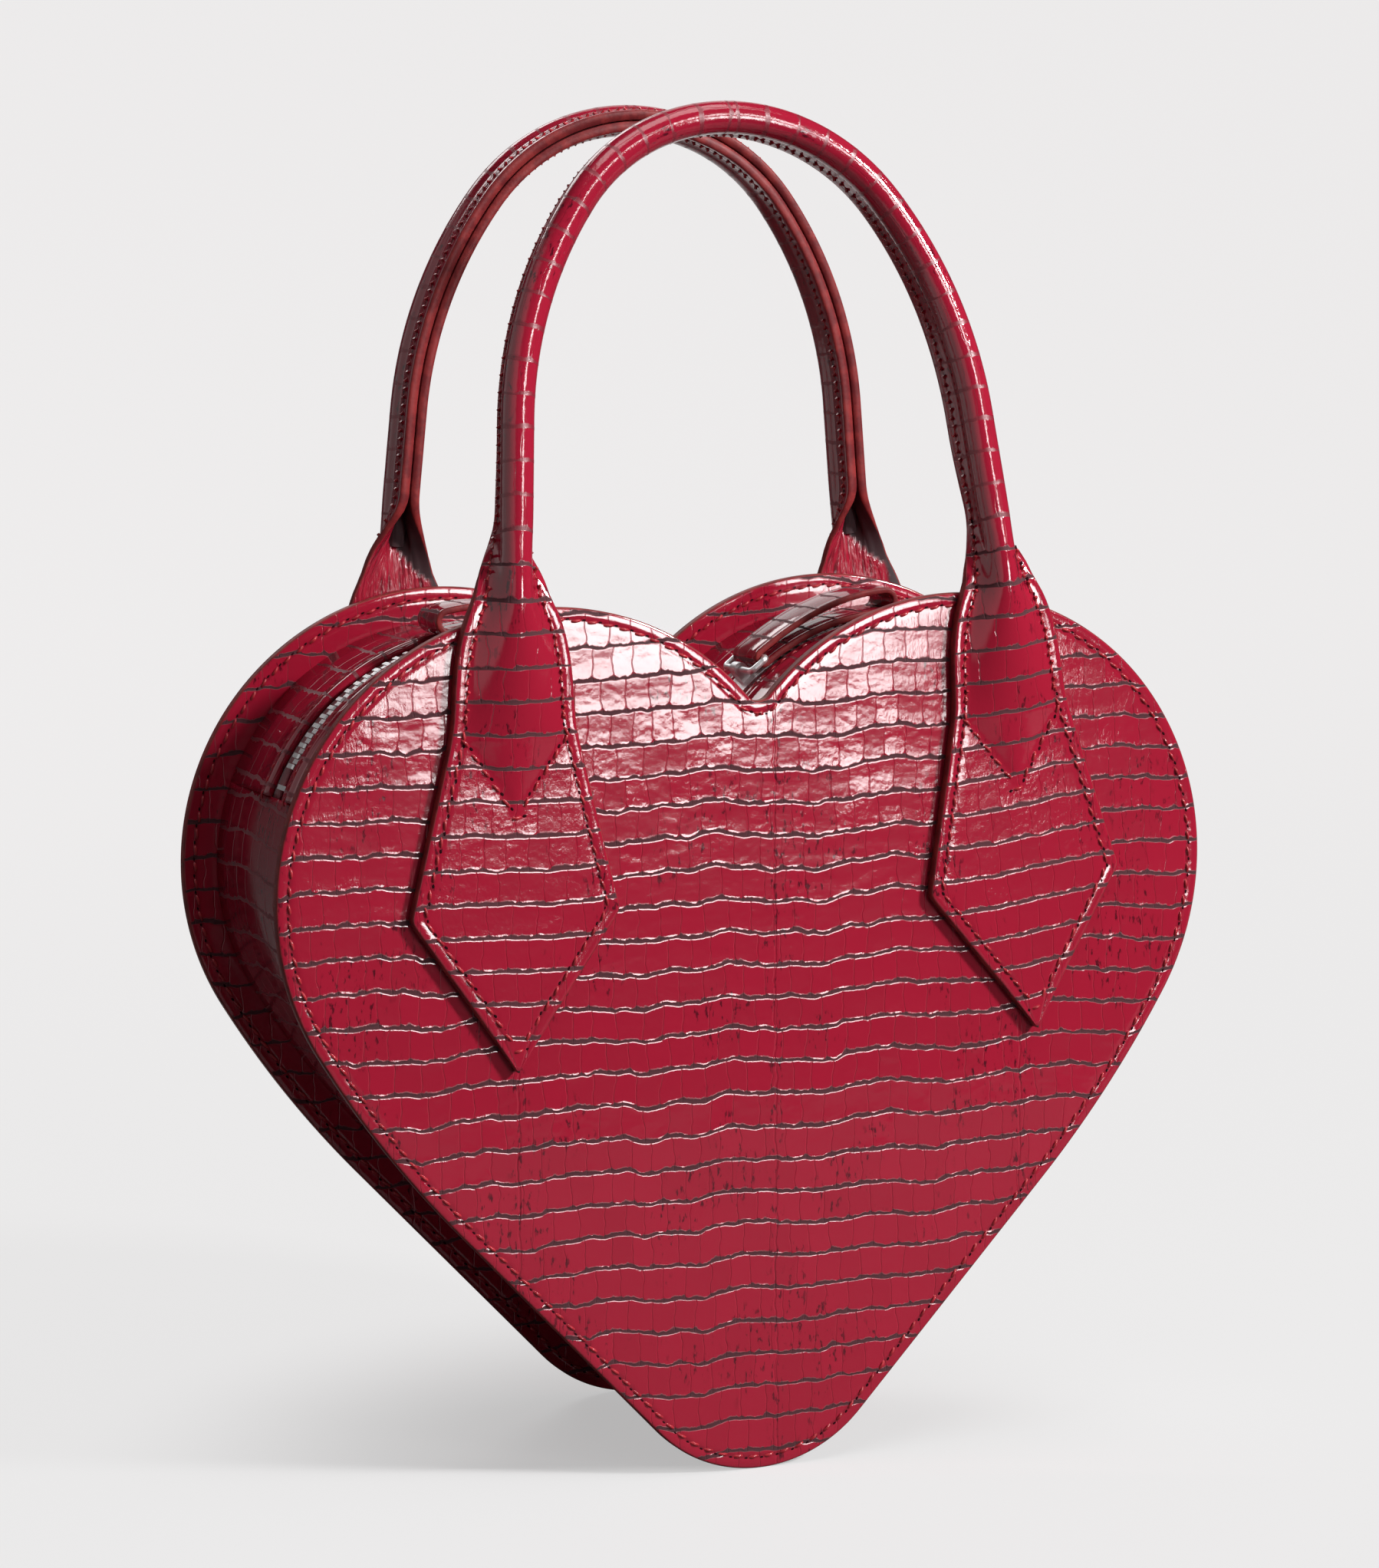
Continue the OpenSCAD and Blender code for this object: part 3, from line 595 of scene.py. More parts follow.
def gusset_section(sag):
    """From panel to panel, a touch hollow in the middle."""
    depth = np.linspace(PANEL_T, BAG_DEPTH - PANEL_T, 13)
    outer = [(y, GUSSET_IN + sag * math.sin(math.pi * i / 12)) for i, y in enumerate(depth)]
    return outer + [(y, inset + GUSSET_T) for y, inset in outer[::-1]]


def strip_section():
    """A strip beside the zip, with its edge folded over and stitched."""
    far = MID_Y - ZIP_WINDOW / 2
    top, low, fold, hem = GUSSET_IN, GUSSET_IN + GUSSET_T, GUSSET_IN - HEM_RISE, far - HEM_W
    return [(PANEL_T, top), (12, top + 0.15), (22, top + 0.1), (hem - 0.5, top),
            (hem, top - 0.25), (hem + 0.5, fold + 0.1), (far - 3.4, fold),
            (far - HEM_STITCH_IN, top - 0.58), (far - 1.8, fold), (far - 0.9, fold),
            (far - 0.3, top - 0.5), (far, top + 0.1), (far, low - 0.5), (far - 0.4, low),
            (hem, low), (22, low), (12, low), (PANEL_T, low)]


def turned(section):
    return [(BAG_DEPTH - y, inset) for y, inset in section]


make_band("gusset_base_band", base_run, gusset_section(0.9), gusset_leather,
          ["gusset_base"])
make_band("zip_strip_front", top_run, strip_section(), gusset_leather,
          ["gusset_front_strip"], uv_start=90)
make_band("zip_strip_back", top_run, turned(strip_section()), gusset_leather,
          ["gusset_back_strip"], uv_start=150)


def tape_section():
    low, far = MID_Y - TAPE_EDGE - TAPE_W, MID_Y - TAPE_EDGE
    top, bottom = TAPE_IN + 0.02, TAPE_IN + TAPE_T - 0.02
    return [(low, top), (far - 2, top), (far - 1.2, top), (far - 0.3, top + 0.02),
            (far, top + 0.2), (far, bottom - 0.2), (far - 0.3, bottom), (low, bottom)]


make_band("front_tape", top_run, tape_section(), tape_material, ["zip_tape_front"])
make_band("back_tape", top_run, turned(tape_section()), tape_material, ["zip_tape_back"])


# ---- lining cloth
LINING_IN, LINING_T, LINING_FAR = 10.5, 0.6, MID_Y - TAPE_EDGE - TAPE_W - 0.3


def line_panel(side_name, y, face_sign):
    """Lining cloth stretched over a panel's inner face."""
    edge = heart_points(LINING_IN)
    points = np.concatenate([at_depth(edge, y), at_depth(edge, y + face_sign * LINING_T)])
    piece = tidy(make_piece("lining_" + side_name + "_cloth", points,
                            tube_faces(2, len(edge)), [lining_material], smooth=False))
    finish_piece(piece, "bag", ["lining_" + side_name])


def line_gusset():
    """Lining cloth under the gusset, in one strip below and two beside the zip."""
    near, far = PANEL_T + 0.6, BAG_DEPTH - PANEL_T - 0.6
    points, faces, area, total = [], [], 0, 0
    for run, low, high in ((base_run, near, far), (top_run, near, LINING_FAR),
                           (top_run, BAG_DEPTH - LINING_FAR, far)):
        section = [(low, TAPE_IN), (high, TAPE_IN), (high, LINING_IN), (low, LINING_IN)]
        lines = [at_depth(run(inset), y) for y, inset in section]
        faces += tube_faces(len(lines[0]), 4, start=sum(len(p) for p in points))
        points.append(np.stack(lines, 1).reshape(-1, 3))
        length = np.linalg.norm(np.diff(lines[0], axis=0), axis=1).sum() / 1000
        area, total = area + length * (high - low) / 1000, total + length
    piece = tidy(make_piece("lining_gusset_cloth", np.concatenate(points), faces,
                            [lining_material], smooth=False))
    finish_piece(piece, "bag", ["lining_gusset"])


line_panel("front", PANEL_T, 1)
line_panel("back", BAG_DEPTH - PANEL_T, -1)
line_gusset()


# ---- handles with kite tabs
def smooth_step(t):
    t = np.clip(t, 0, 1)
    return t * t * (3 - 2 * t)


def soft_max(a, b, k=0.5):
    """The larger of two widths, eased where they cross."""
    return max(a, b) + k * math.log1p(math.exp(-abs(a - b) / k))


def tab_half_width(d):
    """Half the tab's width at a depth below the hinge line."""
    rise = 1 - math.exp(-(max(d - 2, 0) / 11.5) ** 1.5)
    neck = TAB_NECK / 2 + (TAB_WAIST - TAB_NECK) / 2 * rise
    slope = (TAB_CORNER - TAB_WAIST) / 2 / (TAB_CORNER_L - TAB_WAIST_L)
    flare = TAB_WAIST / 2 + slope * (d - TAB_WAIST_L)
    taper = TAB_CORNER / 2 * (TAB_TIP_L - d) / (TAB_TIP_L - TAB_CORNER_L)
    if d < 15:
        return neck
    return max(0.0, -soft_max(-soft_max(neck, flare), -taper))


OPENING = [(-17, 0), (-15, 0.03), (-13, 0.1), (-10.5, 0.24), (-7, 0.46), (-3.5, 0.66),
           (0, 0.82), (3.5, 0.93), (7, 0.985), (10, 1.0)]
EDGE_STEPS = [(0, 0.75), (0.12, 0.34), (0.36, 0.1), (0.8, 0), (1.6, 0), (2.4, 0.03),
              (3.0, 0.12), (3.6, 0.03), (4.5, 0)]
VEE_HALF, VEE_TOP, VEE_TIP, SWELL_L = 12.4, 36.5, 54.5, 60
STITCH_COLUMN = [e for e, _ in EDGE_STEPS].index(STITCH_IN)
SEAM_HALF = TAB_T + TAB_BACK_T
FLAT_N, PANEL_N = HINGE_Y + SEAM_HALF, HINGE_Y + 0.03
TURN = math.pi - math.asin(SEAM_HALF / HANDLE_R)
ROLL_L = HANDLE_R * TURN
FLANGE_TOP = HANDLE_R * math.cos(TURN)
FLANGE_END = -(HANDLE_R + SEAM_W)
CLOSED_L = ROLL_L + FLANGE_TOP - FLANGE_END
TONGUE_EDGE = [(-16, -12), (-10, -6.5), (-5, -2), (0, 3), (5, 9)]
NO_TAB, SOFT_NECK, NECK_LOW, NECK_HIGH = -99, 16, -8.0, 15.0


def closed_section(u, sunk):
    """Rolled tube and stitched seam: outer and inner point at a distance from the middle."""
    if u <= ROLL_L:
        a, r = u / HANDLE_R, HANDLE_R - COVER_T
        inner = a * math.pi / TURN
        return ((HANDLE_R * math.sin(a), HANDLE_R * math.cos(a)),
                (r * math.sin(inner) + 0.06, r * math.cos(inner)))
    n = FLANGE_TOP - (u - ROLL_L)
    return (SEAM_HALF - sunk, n), (0.06 + 0.5 * min(sunk, 0.4), n)


def open_section(b, d, sunk):
    """Flat tab, swelling between its stitches over the cord's flattened end."""
    room = tab_half_width(d) - STITCH_IN - 0.6
    if d > VEE_TOP:
        room = min(room, VEE_HALF * (VEE_TIP - d) / (VEE_TIP - VEE_TOP) - 0.9)
    swell = (HANDLE_R - FLAT_N) * (1 - smooth_step(d / SWELL_L))
    lift = swell * (1 - (b / room) ** 2) ** 1.2 if abs(b) < room else 0
    return (b, FLAT_N + lift - sunk), (b, PANEL_N + 0.5 * min(sunk, 0.4))


def tab_rows(splay):
    """Sections of a tab from its tip up, closer where its shape changes."""
    depths = np.concatenate([
        np.arange(TAB_TIP_L, TAB_CORNER_L + 1, -1.6),
        np.linspace(TAB_CORNER_L + 1, TAB_CORNER_L - 1, 5),
        np.arange(TAB_CORNER_L - 2, 57, -1.5), np.arange(56.5, 33, -0.7),
        np.arange(32.5, 0.4, -1.2)])
    return [(LEG_X + d * sin(splay), -d * cos(splay), d) for d in depths]


def handle_path(lean, twist):
    """Origins and directions of the sections, from the right tab's tip to the left one's."""
    rows = [(LEG_X - s * sin(LEG_SLOPE), s * cos(LEG_SLOPE), -s)
            for s in np.arange(0.6, LEG_L, 1.25)]
    for x, z, r, low, high, count in ((BOW_X, BOW_Z, BOW_R, LEG_SLOPE, CROWN_ANGLE, 46),
                                      (0, CROWN_Z, CROWN_R, CROWN_ANGLE, 90, 36)):
        rows += [(x + r * cos(a), z + r * sin(a), NO_TAB)
                 for a in np.linspace(low, high, count)[1:]]
    left = [(-x, z, d) for x, z, d in (tab_rows(LEFT_SPLAY) + rows)[::-1]]
    rows = tab_rows(RIGHT_SPLAY) + rows + left[1:]
    flat = np.array(rows)[:, :2]
    length = length_along(flat)
    raw = np.array([(x, z * sin(lean), z * cos(lean)) if z > 0 else (x, 0, z)
                    for x, z in flat])
    soft, leans = raw.copy(), [lean * smooth_step((z + 9) / 18) for z in flat[:, 1]]
    for i, (x, z) in enumerate(flat):
        if abs(z) < SOFT_NECK:
            near = np.exp(-((length - length[i]) / 5.5) ** 2)
            weight = math.exp(-(z / 9) ** 2)
            soft[i] = raw[i] * (1 - weight) + weight * (near[:, None] * raw).sum(0) / near.sum()
    along = unit(np.gradient(soft, length, axis=0))
    sections = []
    for i, (x, z, d) in enumerate(rows):
        out = np.array([0, -cos(leans[i]), sin(leans[i])])
        if d > 14:
            splay = RIGHT_SPLAY if x > 0 else LEFT_SPLAY
            along[i] = (-sin(splay), 0, cos(splay) if x > 0 else -cos(splay))
        out = unit(out - along[i] * out.dot(along[i]))
        side = np.cross(along[i], out)
        on_leg = smooth_step((z - 4) / 30) * smooth_step((100 - z) / 60)
        turn = twist[0 if x > 0 else 1] * float(on_leg)
        out, side = out * cos(turn) + side * sin(turn), side * cos(turn) - out * sin(turn)
        sections.append((soft[i], side, out, d, length[i]))
    return sections


def strip_columns(half, slant=1.0):
    """Distances from the middle to the edge for one side, with the edge rounding."""
    squeeze = slant * min(1, half / (7.5 * slant))
    inside = half - 4.5 * squeeze
    columns = [(inside * i / 13, 0.0) for i in range(13)]
    return columns + [(half - e * squeeze, sunk * min(1, half / 2))
                      for e, sunk in EDGE_STEPS[::-1]]


def section_points(d):
    """Outer and inner points of one half section, and their places on the strip's map."""
    share = float(np.interp(d, *zip(*OPENING)))
    half = tab_half_width(d) if d > NO_TAB else TAB_NECK / 2
    slant = math.hypot(1, tab_half_width(d + 0.5) - tab_half_width(d - 0.5)) if d > 0 else 1.0
    closed = [(*closed_section(u, sunk), (u, 0)) for u, sunk in strip_columns(CLOSED_L)]
    opened = [(*open_section(b, d, sunk), (b, 0)) for b, sunk in strip_columns(half, slant)]
    both = (1 - share) * np.array(closed) + share * np.array(opened)
    return both[:, 0], both[:, 1], both[:, 2, 0]


def strip_halves(sections):
    """All sections as rows of points: the outer side, the inner side and the map."""
    rows_out, rows_in, maps = [], [], []
    for origin, side, out, d, s in sections:
        outer, inner, places = section_points(d)
        for half, rows in ((outer, rows_out), (inner, rows_in)):
            full = np.concatenate([(half * [-1, 1])[::-1], half[1:]])
            rows.append(origin + full[:, :1] * side + full[:, 1:] * out)
        across = np.concatenate([-places[::-1], places[1:]])
        from_tip = min(s, sections[-1][4] - s)
        maps.append(np.stack([across, np.full(len(across), from_tip)], 1))
    return np.array(rows_out), np.array(rows_in), np.array(maps)


def at_hinge(points, back):
    """From the hinge's own axes to the heart's, mirrored for the back handle."""
    points = points + [0, HINGE_Y, HINGE_Z]
    return points * [1, -1, 1] + [0, BAG_DEPTH, 0] if back else points


def bend_at_neck(piece, back):
    """Bakes the piece's placement into its points; the neck's ends below and above the hinge
    are worked out but not used.
    """
    start, end = to_frame(at_hinge(np.array([[0, 0, NECK_LOW], [0, 0, NECK_HIGH]]), back))
    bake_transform(piece)


def make_handle(side_name, lean, back, twist):
    """One strip of leather: a tab, the rolled tube over the crown and the other tab."""
    sections = handle_path(lean, twist)
    outer, inner, maps = strip_halves(sections)
    rows, columns = outer.shape[:2]
    points = at_hinge(np.concatenate([outer.reshape(-1, 3), inner.reshape(-1, 3)]), back)
    size, last = rows * columns, (rows - 1) * columns
    faces = grid_faces(rows, columns, flip=True) + grid_faces(rows, columns, start=size)
    painted = [j < 2 or j >= columns - 3 for _ in range(rows - 1) for j in range(columns - 1)]
    kinds = [1 if edge else plain for plain in (0, 2) for edge in painted]
    walls = []
    for a in range(0, last, columns):
        walls += [(a, a + columns), (a + 2 * columns - 1, a + columns - 1)]
    for a in range(columns - 1):
        walls += [(a, a + 1), (last + a, last + a + 1)]
    faces += [[a, b, size + b, size + a] for a, b in walls]
    kinds += [1] * len(walls)
    piece = make_piece(side_name + "_handle_leather", points, faces,
                       [strip_leather, edge_paint, back_of_leather], kinds,
                       np.concatenate([maps.reshape(-1, 2)] * 2))
    # Marks the stitch channels, which the leather darkens as painted shade.
    in_channel = np.zeros((2, rows, columns))
    in_channel[0, :, [STITCH_COLUMN, columns - 1 - STITCH_COLUMN]] = 1
    mark_points(piece, "stitch_channel", in_channel)
    x = maps[:, :, 0] * np.where(np.arange(rows) < rows / 2, 1, -1)[:, None]
    side = np.interp([d for _, _, _, d, _ in sections], *zip(*TONGUE_EDGE))[:, None]
    mark_points(piece, "tongue", [np.zeros_like(x), smooth_step((side - x) / 1.4 + 0.5)])
    tidy(piece, 2e-6)
    bend_at_neck(piece, back)
    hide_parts(*(side_name + node for node in (
        "_handle_cover", "_left_tab", "_right_tab", "_left_tab_backing", "_right_tab_backing")))
    return sections, outer


# Side, lean, whether it is the back one, and how far its right and left legs are twisted.
HANDLES = (("front", FRONT_LEAN, False, (14, 4)), ("back", BACK_LEAN, True, (0, 0)))
strips = [make_handle(*handle) for handle in HANDLES]


# ---- pull straps
def lobe_place(points, angle, left):
    """From a slider's own axes above the lobe's centre to the heart's."""
    b = 90 - angle
    x, y, z = np.asarray(points, float).T
    placed = np.stack([x * cos(b) + z * sin(b) + LOBE_X, y + MID_Y,
                       z * cos(b) - x * sin(b) + LOBE_Z], 1)
    return placed * [-1, 1, 1] if left else placed


def polar(r, a):
    return np.array([r * cos(a), r * sin(a)])


def strap_line(grow, runs=26):
    """Loop of the strap: round the bar, along the gusset, round the end and back."""
    eye = WIRE_R + WIRE_GAP + STRAP_T / 2
    low, end_r = PULL_R - eye, (LOOP_GAP + STRAP_T) / 2
    root = 90 - math.degrees(FRAME_L / PULL_R)
    angle = math.degrees(STRAP_L / PULL_R)
    end, lift = root - angle, 2 * (end_r - eye)
    bar, tail = polar(PULL_R, root), polar(low + end_r, end)
    line = [polar(low - grow, root - angle * i / runs) for i in range(runs + 1)]
    line += [tail + polar(end_r + grow, end - 180 + 180 * i / 12) for i in range(1, 12)]
    line += [polar(low + 2 * eye + lift * (1 - cos(180 * (1 - i / runs))) / 2 + grow,
                   end + angle * i / runs) for i in range(runs + 1)]
    line += [bar + polar(eye + grow, root + 180 * i / 12) for i in range(1, 12)]
    return np.array(line)


STRAP_PAINTED = {0, 1, 11, 12, 13, 14, 23, 24, 25}      # faces round the band's section


def make_strap(side_name, angle, left):
    """A doubled leather band with rounded, painted edges."""
    half = STRAP_W / 2
    side = [(half, 0.45), (half - 0.12, 0.15), (half - 0.5, 0), (half - 1.6, 0.02),
            (half - 2.2, 0.12), (half - 2.8, 0)]
    across = [(-y, low) for y, low in side] + [(0, -0.05)] + side[::-1]
    section = [(y, STRAP_T / 2 - low) for y, low in across] + \
        [(y, low - STRAP_T / 2) for y, low in across[::-1]]
    lines = [strap_line(grow) for _, grow in section]
    points = np.stack([at_depth(line, y) for line, (y, _) in zip(lines, section)], 1)
    faces = grid_faces(len(lines[0]), len(section), close_rows=True, close_columns=True)
    kinds = [1 if i % len(section) in STRAP_PAINTED else 0 for i in range(len(faces))]
    piece = make_piece(side_name + "_pull_loop",
                       lobe_place(points.reshape(-1, 3), angle, left), faces,
                       [strap_leather, edge_paint], kinds,
                       strip_map([y for y, _ in section], length_along(lines[0])))
    finish_piece(tidy(piece), side_name + "_pull", [side_name + "_pull_strap"])


make_strap("right", RIGHT_SLIDER, False)
make_strap("left", LEFT_SLIDER, True)


# ---- stitches
def stitch_tree():
    """Sews a run: a thread bow on each point, laid along the run and square to its face."""
    tree, w, given, out = new_group(
        "run of stitches",
        [("Run", GEOMETRY), *((label, FLOAT) for label in (
            "Pitch", "Length", "Thread", "Bow", "Slant", "Hole lift")),
         ("Thread material", "NodeSocketMaterial"), ("Hole material", "NodeSocketMaterial")],
        [("Stitches", GEOMETRY)], "GeometryNodeTree")
    curve = w.get("GeometryNodeMeshToCurve", [given["Run"]])
    points = w.get("GeometryNodeResampleCurve", {"Curve": curve, "Length": given["Pitch"]},
                   mode="LENGTH")
    half, low = w.mul(given["Length"], 0.5), w.mul(given["Bow"], -0.8)
    bow = w.get("GeometryNodeCurveQuadraticBezier", {
        "Resolution": 5, "Start": w.join(w.mul(half, -1.0), 0.0, low),
        "Middle": w.join(0.0, 0.0, w.mul(given["Bow"], 1.5)), "End": w.join(half, 0.0, low)})
    ring = w.get("GeometryNodeCurvePrimitiveCircle", {
        "Resolution": 6, "Radius": given["Thread"]})
    thread = w.get("GeometryNodeCurveToMesh", {
        "Curve": bow, "Profile Curve": ring, "Fill Caps": True})
    # A flat near-black dot beside each bow: painted shade of the needle hole.
    ball = w.get("GeometryNodeMeshUVSphere", {
        "Segments": 8, "Rings": 4, "Radius": w.mul(given["Thread"], 1.1)})
    hole = w.get("GeometryNodeTransform", {
        "Geometry": ball, "Scale": (1.25, 0.8, 0.16),
        "Translation": w.join(w.mul(given["Pitch"], 0.5), 0.0, given["Hole lift"])})
    both = w.node("GeometryNodeJoinGeometry")
    for shape, label in ((hole, "Hole material"), (thread, "Thread material")):
        w.fill(both, [w.get("GeometryNodeSetMaterial", {
            "Geometry": shape, "Material": given[label]})])
    normal = w.get("GeometryNodeInputNamedAttribute", {"Name": "face_normal"},
                   data_type="FLOAT_VECTOR")
    upright = w.get("FunctionNodeAlignRotationToVector", {"Vector": normal}, axis="Z")
    along = w.get("FunctionNodeAlignRotationToVector", {
        "Rotation": upright, "Vector": w.get("GeometryNodeInputTangent")},
        axis="X", pivot_axis="Z")
    turn = w.get("FunctionNodeEulerToRotation", [w.join(0.0, 0.0, given["Slant"])])
    slant = w.get("FunctionNodeRotateRotation", {"Rotation": along, "Rotate By": turn},
                  rotation_space="LOCAL")
    sewn = w.get("GeometryNodeInstanceOnPoints", {
        "Points": points, "Instance": both.outputs[0], "Rotation": slant})
    w.fill(out, [w.get("GeometryNodeRealizeInstances", [sewn])])
    return tree


STITCHES = stitch_tree()


def sew(name, runs, pitch=STITCH_PITCH, length=2.7, thread=0.4, bow=0.74):
    """Stitches along runs of (points, face normals) in millimetres, as one plain mesh."""
    points = np.concatenate([p for p, _ in runs])
    normals = np.concatenate([np.broadcast_to(n, p.shape) for p, n in runs])
    last = set(np.cumsum([len(p) for p, _ in runs]) - 1)
    edges = [(i, i + 1) for i in range(max(last)) if i not in last]
    mesh = bpy.data.meshes.new(name + "_run")
    mesh.from_pydata(to_frame(points).tolist(), edges, [])
    held = mesh.attributes.new("face_normal", "FLOAT_VECTOR", "POINT")
    held.data.foreach_set("vector", normals.astype(np.float32).ravel())
    run = add_object(name, mesh)
    modifier = run.modifiers.new("stitches", "NODES")
    modifier.node_group = STITCHES
    sockets = {s.name: s.identifier for s in STITCHES.interface.items_tree
               if s.in_out == "INPUT"}
    for label, value in (("Pitch", pitch / 1000), ("Length", length / 1000),
                         ("Thread", thread / 1000), ("Bow", bow / 1000), ("Slant", 0.2),
                         ("Hole lift", HOLE_LIFT / 1000),
                         ("Thread material", thread_material),
                         ("Hole material", hole_shade_material)):
        modifier[sockets[label]] = value
    bpy.context.view_layer.update()
    graph = bpy.context.evaluated_depsgraph_get()
    sewn = bpy.data.meshes.new_from_object(run.evaluated_get(graph))
    run.modifiers.clear()
    run.data = sewn
    sewn.shade_smooth()
    return run


def rim_runs(y_outer, y_inner, out):
    """Stitches all round a panel, on both of its faces."""
    outline = heart_points(STITCH_IN)
    outline = np.concatenate([outline, outline[:1]])
    return [(at_depth(outline, y_outer), (0, out, 0)),
            (at_depth(outline, y_inner), (0, -out, 0))]


for side, outer_y, inner_y, out in (
        ("front", RIM_SINK, PANEL_T - RIM_SINK, -1),
        ("back", BAG_DEPTH - RIM_SINK, BAG_DEPTH - PANEL_T + RIM_SINK, 1)):
    finish_piece(sew(side + "_panel_stitches", rim_runs(outer_y, inner_y, out)), "bag", [])


def hem_run(y):
    """Stitches on the folded hem beside the zip, square to the lobes."""
    line = top_run(GUSSET_IN - HEM_STITCH_RISE)
    step = unit(np.gradient(line, axis=0))
    return at_depth(line, y), at_depth(np.stack([step[:, 1], -step[:, 0]], 1), 0)


hem_y = MID_Y - ZIP_WINDOW / 2 - HEM_STITCH_IN
finish_piece(sew("hem_stitches", [hem_run(hem_y), hem_run(BAG_DEPTH - hem_y)], pitch=3.4,
                 length=2.3, thread=0.28, bow=0.42), "bag", [])


def along_strip(sections, outer, side, low, high):
    """A run on the strip's face, in the stitch channel beside one edge."""
    column = STITCH_COLUMN if side < 0 else outer.shape[1] - 1 - STITCH_COLUMN
    points, normals = [], []
    for (_, across, out, _, s), row in zip(sections, outer):
        if low <= s <= high:
            normal = np.cross(row[column + 1] - row[column - 1], np.cross(across, out))
            points.append(row[column])
            normals.append(unit(normal))
    return np.array(points), np.array(normals)


def inset_corner(a, b, c, inset):
    """Corner of a path after both of its edges move inwards, to their left."""
    a, b, c = (np.array(p, float) for p in (a, b, c))
    u, v = unit(b - a), unit(c - b)
    n, m = np.array([-u[1], u[0]]), np.array([-v[1], v[0]])
    return tuple(b + inset * (n + m) / (1 + n.dot(m)))


def kite_run(side_x, back):
    """The tab's edge stitches below the waist and the V under the cord's end."""
    waist, corner = (TAB_WAIST / 2, TAB_WAIST_L), (TAB_CORNER / 2, TAB_CORNER_L)
    tip, far = (0, TAB_TIP_L), (-corner[0], corner[1])
    half = [(tab_half_width(d) - STITCH_IN, d) for d in (waist[1] - 2, waist[1], waist[1] + 3)]
    half.append(inset_corner(waist, corner, tip, STITCH_IN))
    outline = half + [inset_corner(corner, tip, far, STITCH_IN)] + [
        (-x, d) for x, d in half[::-1]]
    vee = [(VEE_HALF, VEE_TOP), (0, VEE_TIP), (-VEE_HALF, VEE_TOP)]
    splay = RIGHT_SPLAY if side_x > 0 else LEFT_SPLAY
    runs = []
    for corners in (outline, vee):
        line = np.concatenate([
            np.linspace(a, b, max(2, int(math.dist(a, b))), endpoint=False)
            for a, b in zip(corners, corners[1:])] + [corners[-1:]])
        height = np.array([open_section(x, d, 0 if corners is vee else 0.1)[0][1]
                           for x, d in line])
        points = np.stack([side_x * (LEG_X + line[:, 0] * cos(splay) + line[:, 1] * sin(splay)),
                           -height, line[:, 0] * sin(splay) - line[:, 1] * cos(splay)], 1)
        runs.append((at_hinge(points, back), np.array([0.0, 1.0 if back else -1.0, 0.0])))
    return runs


def handle_stitches(side_name, back, sections, outer):
    """Along both edges of the strip between its waists, and round each kite."""
    total, cut, runs = sections[-1][4], TAB_TIP_L - TAB_WAIST_L + 2, []
    for side in (-1, 1):
        points, normals = along_strip(sections, outer, side, cut, total - cut)
        if back:
            normals = normals * [1, -1, 1]
        runs.append((at_hinge(points, back), normals))
    for side_x in (-1, 1):
        runs += kite_run(side_x, back)
    bend_at_neck(sew(side_name + "_handle_stitches", runs), back)


for (side, _, is_back, _), strip in zip(HANDLES, strips):
    handle_stitches(side, is_back, *strip)


# ---- carried-over CAD pieces
for finish, nodes in (
        (board_material, ("front_panel_board", "back_panel_board")),
        (zip_metal, ("zip_teeth_front", "zip_teeth_back", "zip_end_stops", "left_slider",
                     "right_slider", "left_pull_frame", "right_pull_frame")),
        (shaded_cord_material, ("front_handle_core", "back_handle_core"))):
    for node in nodes:
        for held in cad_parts[node].material_slots:
            held.material = finish


# ---- floor and surroundings
scene = bpy.context.scene
scene.view_settings.view_transform = "Standard"
PALE, NEAR_PALE = (0.88, 0.865, 0.865, 1), (0.83, 0.822, 0.822, 1)
GREY, NEAR_WHITE, WHITE = (0.15, 0.15, 0.15, 1), (0.9, 0.9, 0.9, 1), (1, 1, 1, 1)
TURN_COS, TURN_SIN = 0.921, 0.389             # of the angle at which the bag is turned
TO_LEFT, TO_BACK = (-0.982, -0.191, 0), (0.386, 0.915, 0.12)


def shows_pale(w, behind):
    """1 for rays that see the surface straight, or reflected from behind the bag."""
    path = w.node("ShaderNodeLightPath").outputs
    mirrored = w.add(path["Is Glossy Ray"], path["Is Transmission Ray"], clamp=True)
    return w.most(path["Is Camera Ray"], w.mul(mirrored, behind))


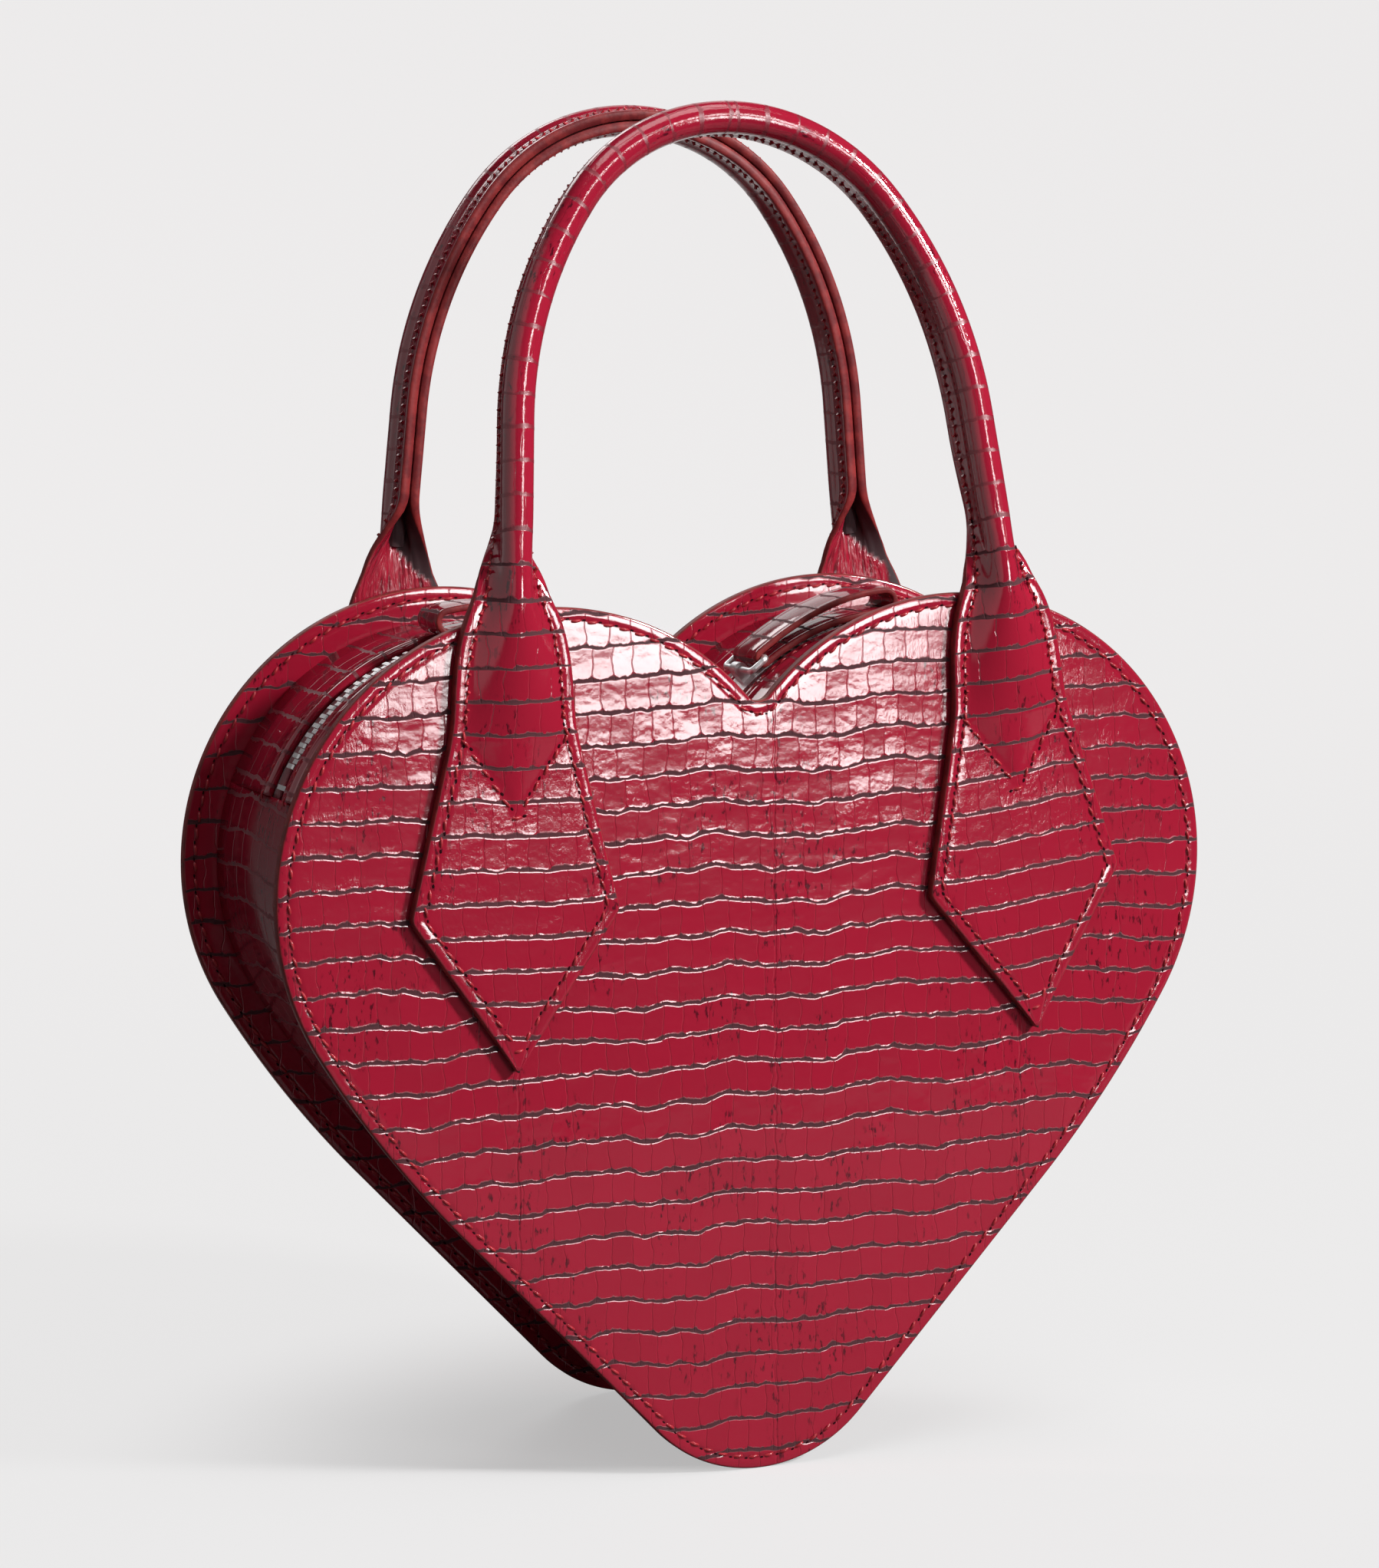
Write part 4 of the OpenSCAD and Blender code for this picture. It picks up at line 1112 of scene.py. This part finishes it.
def floor_material():
    """Pale to the camera and in the leather's reflections, grey to all other light."""
    material = bpy.data.materials.new("pale floor")
    w = blank_tree(material)
    x, y, _ = w.split(place_of(w, "SPACE"))
    across = w.math("ABSOLUTE", w.sub(w.mul(x, TURN_COS), w.mul(y, TURN_SIN)))
    behind = w.mul(w.step(y, 0.1, 0.4), w.step(w.div(across, w.add(y, 0.95)), 0.24, 0.16))
    aside = w.mul(w.step(x, -0.5, -0.7, 0.0, 0.6), w.step(w.mad(x, 1.5, y), 0.0, -0.6))
    seen = w.node("ShaderNodeLightPath").outputs["Is Camera Ray"]
    plain = w.get("ShaderNodeBsdfDiffuse", [w.mix(seen, GREY, NEAR_WHITE)])
    glow = w.get("ShaderNodeEmission", [w.mix(w.step(y, 0.0, 1.6), NEAR_PALE, PALE)])
    from_tip = w.math("SQRT", w.mad(x, x, w.mul(y, y)))
    in_front = w.mad(x, TURN_SIN, w.mul(y, TURN_COS))
    share = w.most(w.step(from_tip, 0.045, 0.17, 0.55, 0.93),
                   w.step(in_front, -0.008, -0.028, 0.5, 0.9))
    pale = w.mul(shows_pale(w, w.most(behind, aside)), share)
    w.node("ShaderNodeOutputMaterial", [w.get("ShaderNodeMixShader", (pale, plain, glow))])
    return material


def make_floor():
    """A level floor that sweeps up into the backdrop."""
    floor_z = cad_box[0][2]
    side = np.linspace(-4, 4, 3)
    profile = [(-0.45, 0), (1.0, 0)] + [
        (1.0 + 1.5 * sin(a), 1.5 - 1.5 * cos(a)) for a in range(6, 91, 6)] + [(2.5, 4)]
    mesh = bpy.data.meshes.new("floor")
    mesh.from_pydata([(x, y, z + floor_z) for y, z in profile for x in side], [],
                     grid_faces(len(profile), len(side)), shade_flat=False)
    mesh.materials.append(floor_material())
    add_object("floor", mesh)


def make_world():
    """Pale where it is seen, dim in front of the bag as in a dark studio."""
    scene.world = bpy.data.worlds.new("studio")
    w = blank_tree(scene.world)
    way = w.node("ShaderNodeTexCoord").outputs["Generated"]

    def toward(direction, *values):
        """Eased by how nearly a ray goes in a direction."""
        lean = w.node("ShaderNodeVectorMath", (way, direction), operation="DOT_PRODUCT")
        return w.step(lean.outputs["Value"], *values)

    lit = w.get("ShaderNodeBackground", (WHITE, toward(TO_LEFT, 0.6, 0.66, 0.03, 0.12)))
    seen = w.get("ShaderNodeBackground", (PALE, 1.0))
    pale = shows_pale(w, w.most(toward(TO_BACK, 0.8, 0.95),
                                toward(TO_LEFT, 0.58, 0.72, 0.0, 0.4)))
    w.node("ShaderNodeOutputWorld", [w.get("ShaderNodeMixShader", (pale, lit, seen))])


make_floor()
make_world()


# ---- light and camera
def softbox(name, azimuth, elevation, distance, width, height, power,
            aim=Vector((0, 0.02, -0.19))):
    """An area light seen from the bag at an azimuth right of the front, and a height."""
    data = bpy.data.lights.new(name, "AREA")
    data.shape, data.size, data.size_y, data.energy = "RECTANGLE", width, height, power
    lamp = add_object(name, data)
    lamp.location = aim + distance * Vector((sin(azimuth) * cos(elevation),
                                             -cos(azimuth) * cos(elevation), sin(elevation)))
    lamp.rotation_euler = (aim - lamp.location).to_track_quat("-Z", "Y").to_euler()


softbox("key light", 44, 31, 1.9, 0.24, 0.24, 38)
softbox("front softbox", 21.8, 2.1, 3.0, 0.58, 0.74, 17, Vector((0, 0, -0.13)))
softbox("upper softbox", 21.8, 22, 2.6, 0.3, 0.36, 5)
softbox("top softbox", 20, 76, 1.3, 0.9, 0.7, 4.5)
softbox("rim light", 192, 42, 1.8, 1.0, 0.6, 7)

CAM_YAW, CAM_PITCH, CAM_ROLL, CAM_DISTANCE = -22.9, 6.8, -0.3, 965
CAM_AIM, CAM_RIGHT, CAM_UP = Vector((0, 0, 110)), -16.9, 56.8
SENSOR, FOCAL_SHARE = 36, 5250 / 2044         # the sensor's side, and the lens in sides
turned_by = Matrix.Identity(3)
for angle, axis in ((CAM_YAW, "Z"), (90 - CAM_PITCH, "X"), (CAM_ROLL, "Z")):
    turned_by = turned_by @ Matrix.Rotation(math.radians(angle), 3, axis)
place = CAM_AIM + turned_by @ Vector((CAM_RIGHT, CAM_UP, CAM_DISTANCE)) - Vector(GRIP)
lens = bpy.data.cameras.new("camera")
lens.lens, lens.sensor_width, lens.clip_start = FOCAL_SHARE * SENSOR, SENSOR, 0.05
scene.camera = add_object("camera", lens)
scene.camera.matrix_world = Matrix.Translation(place / 1000) @ turned_by.to_4x4()
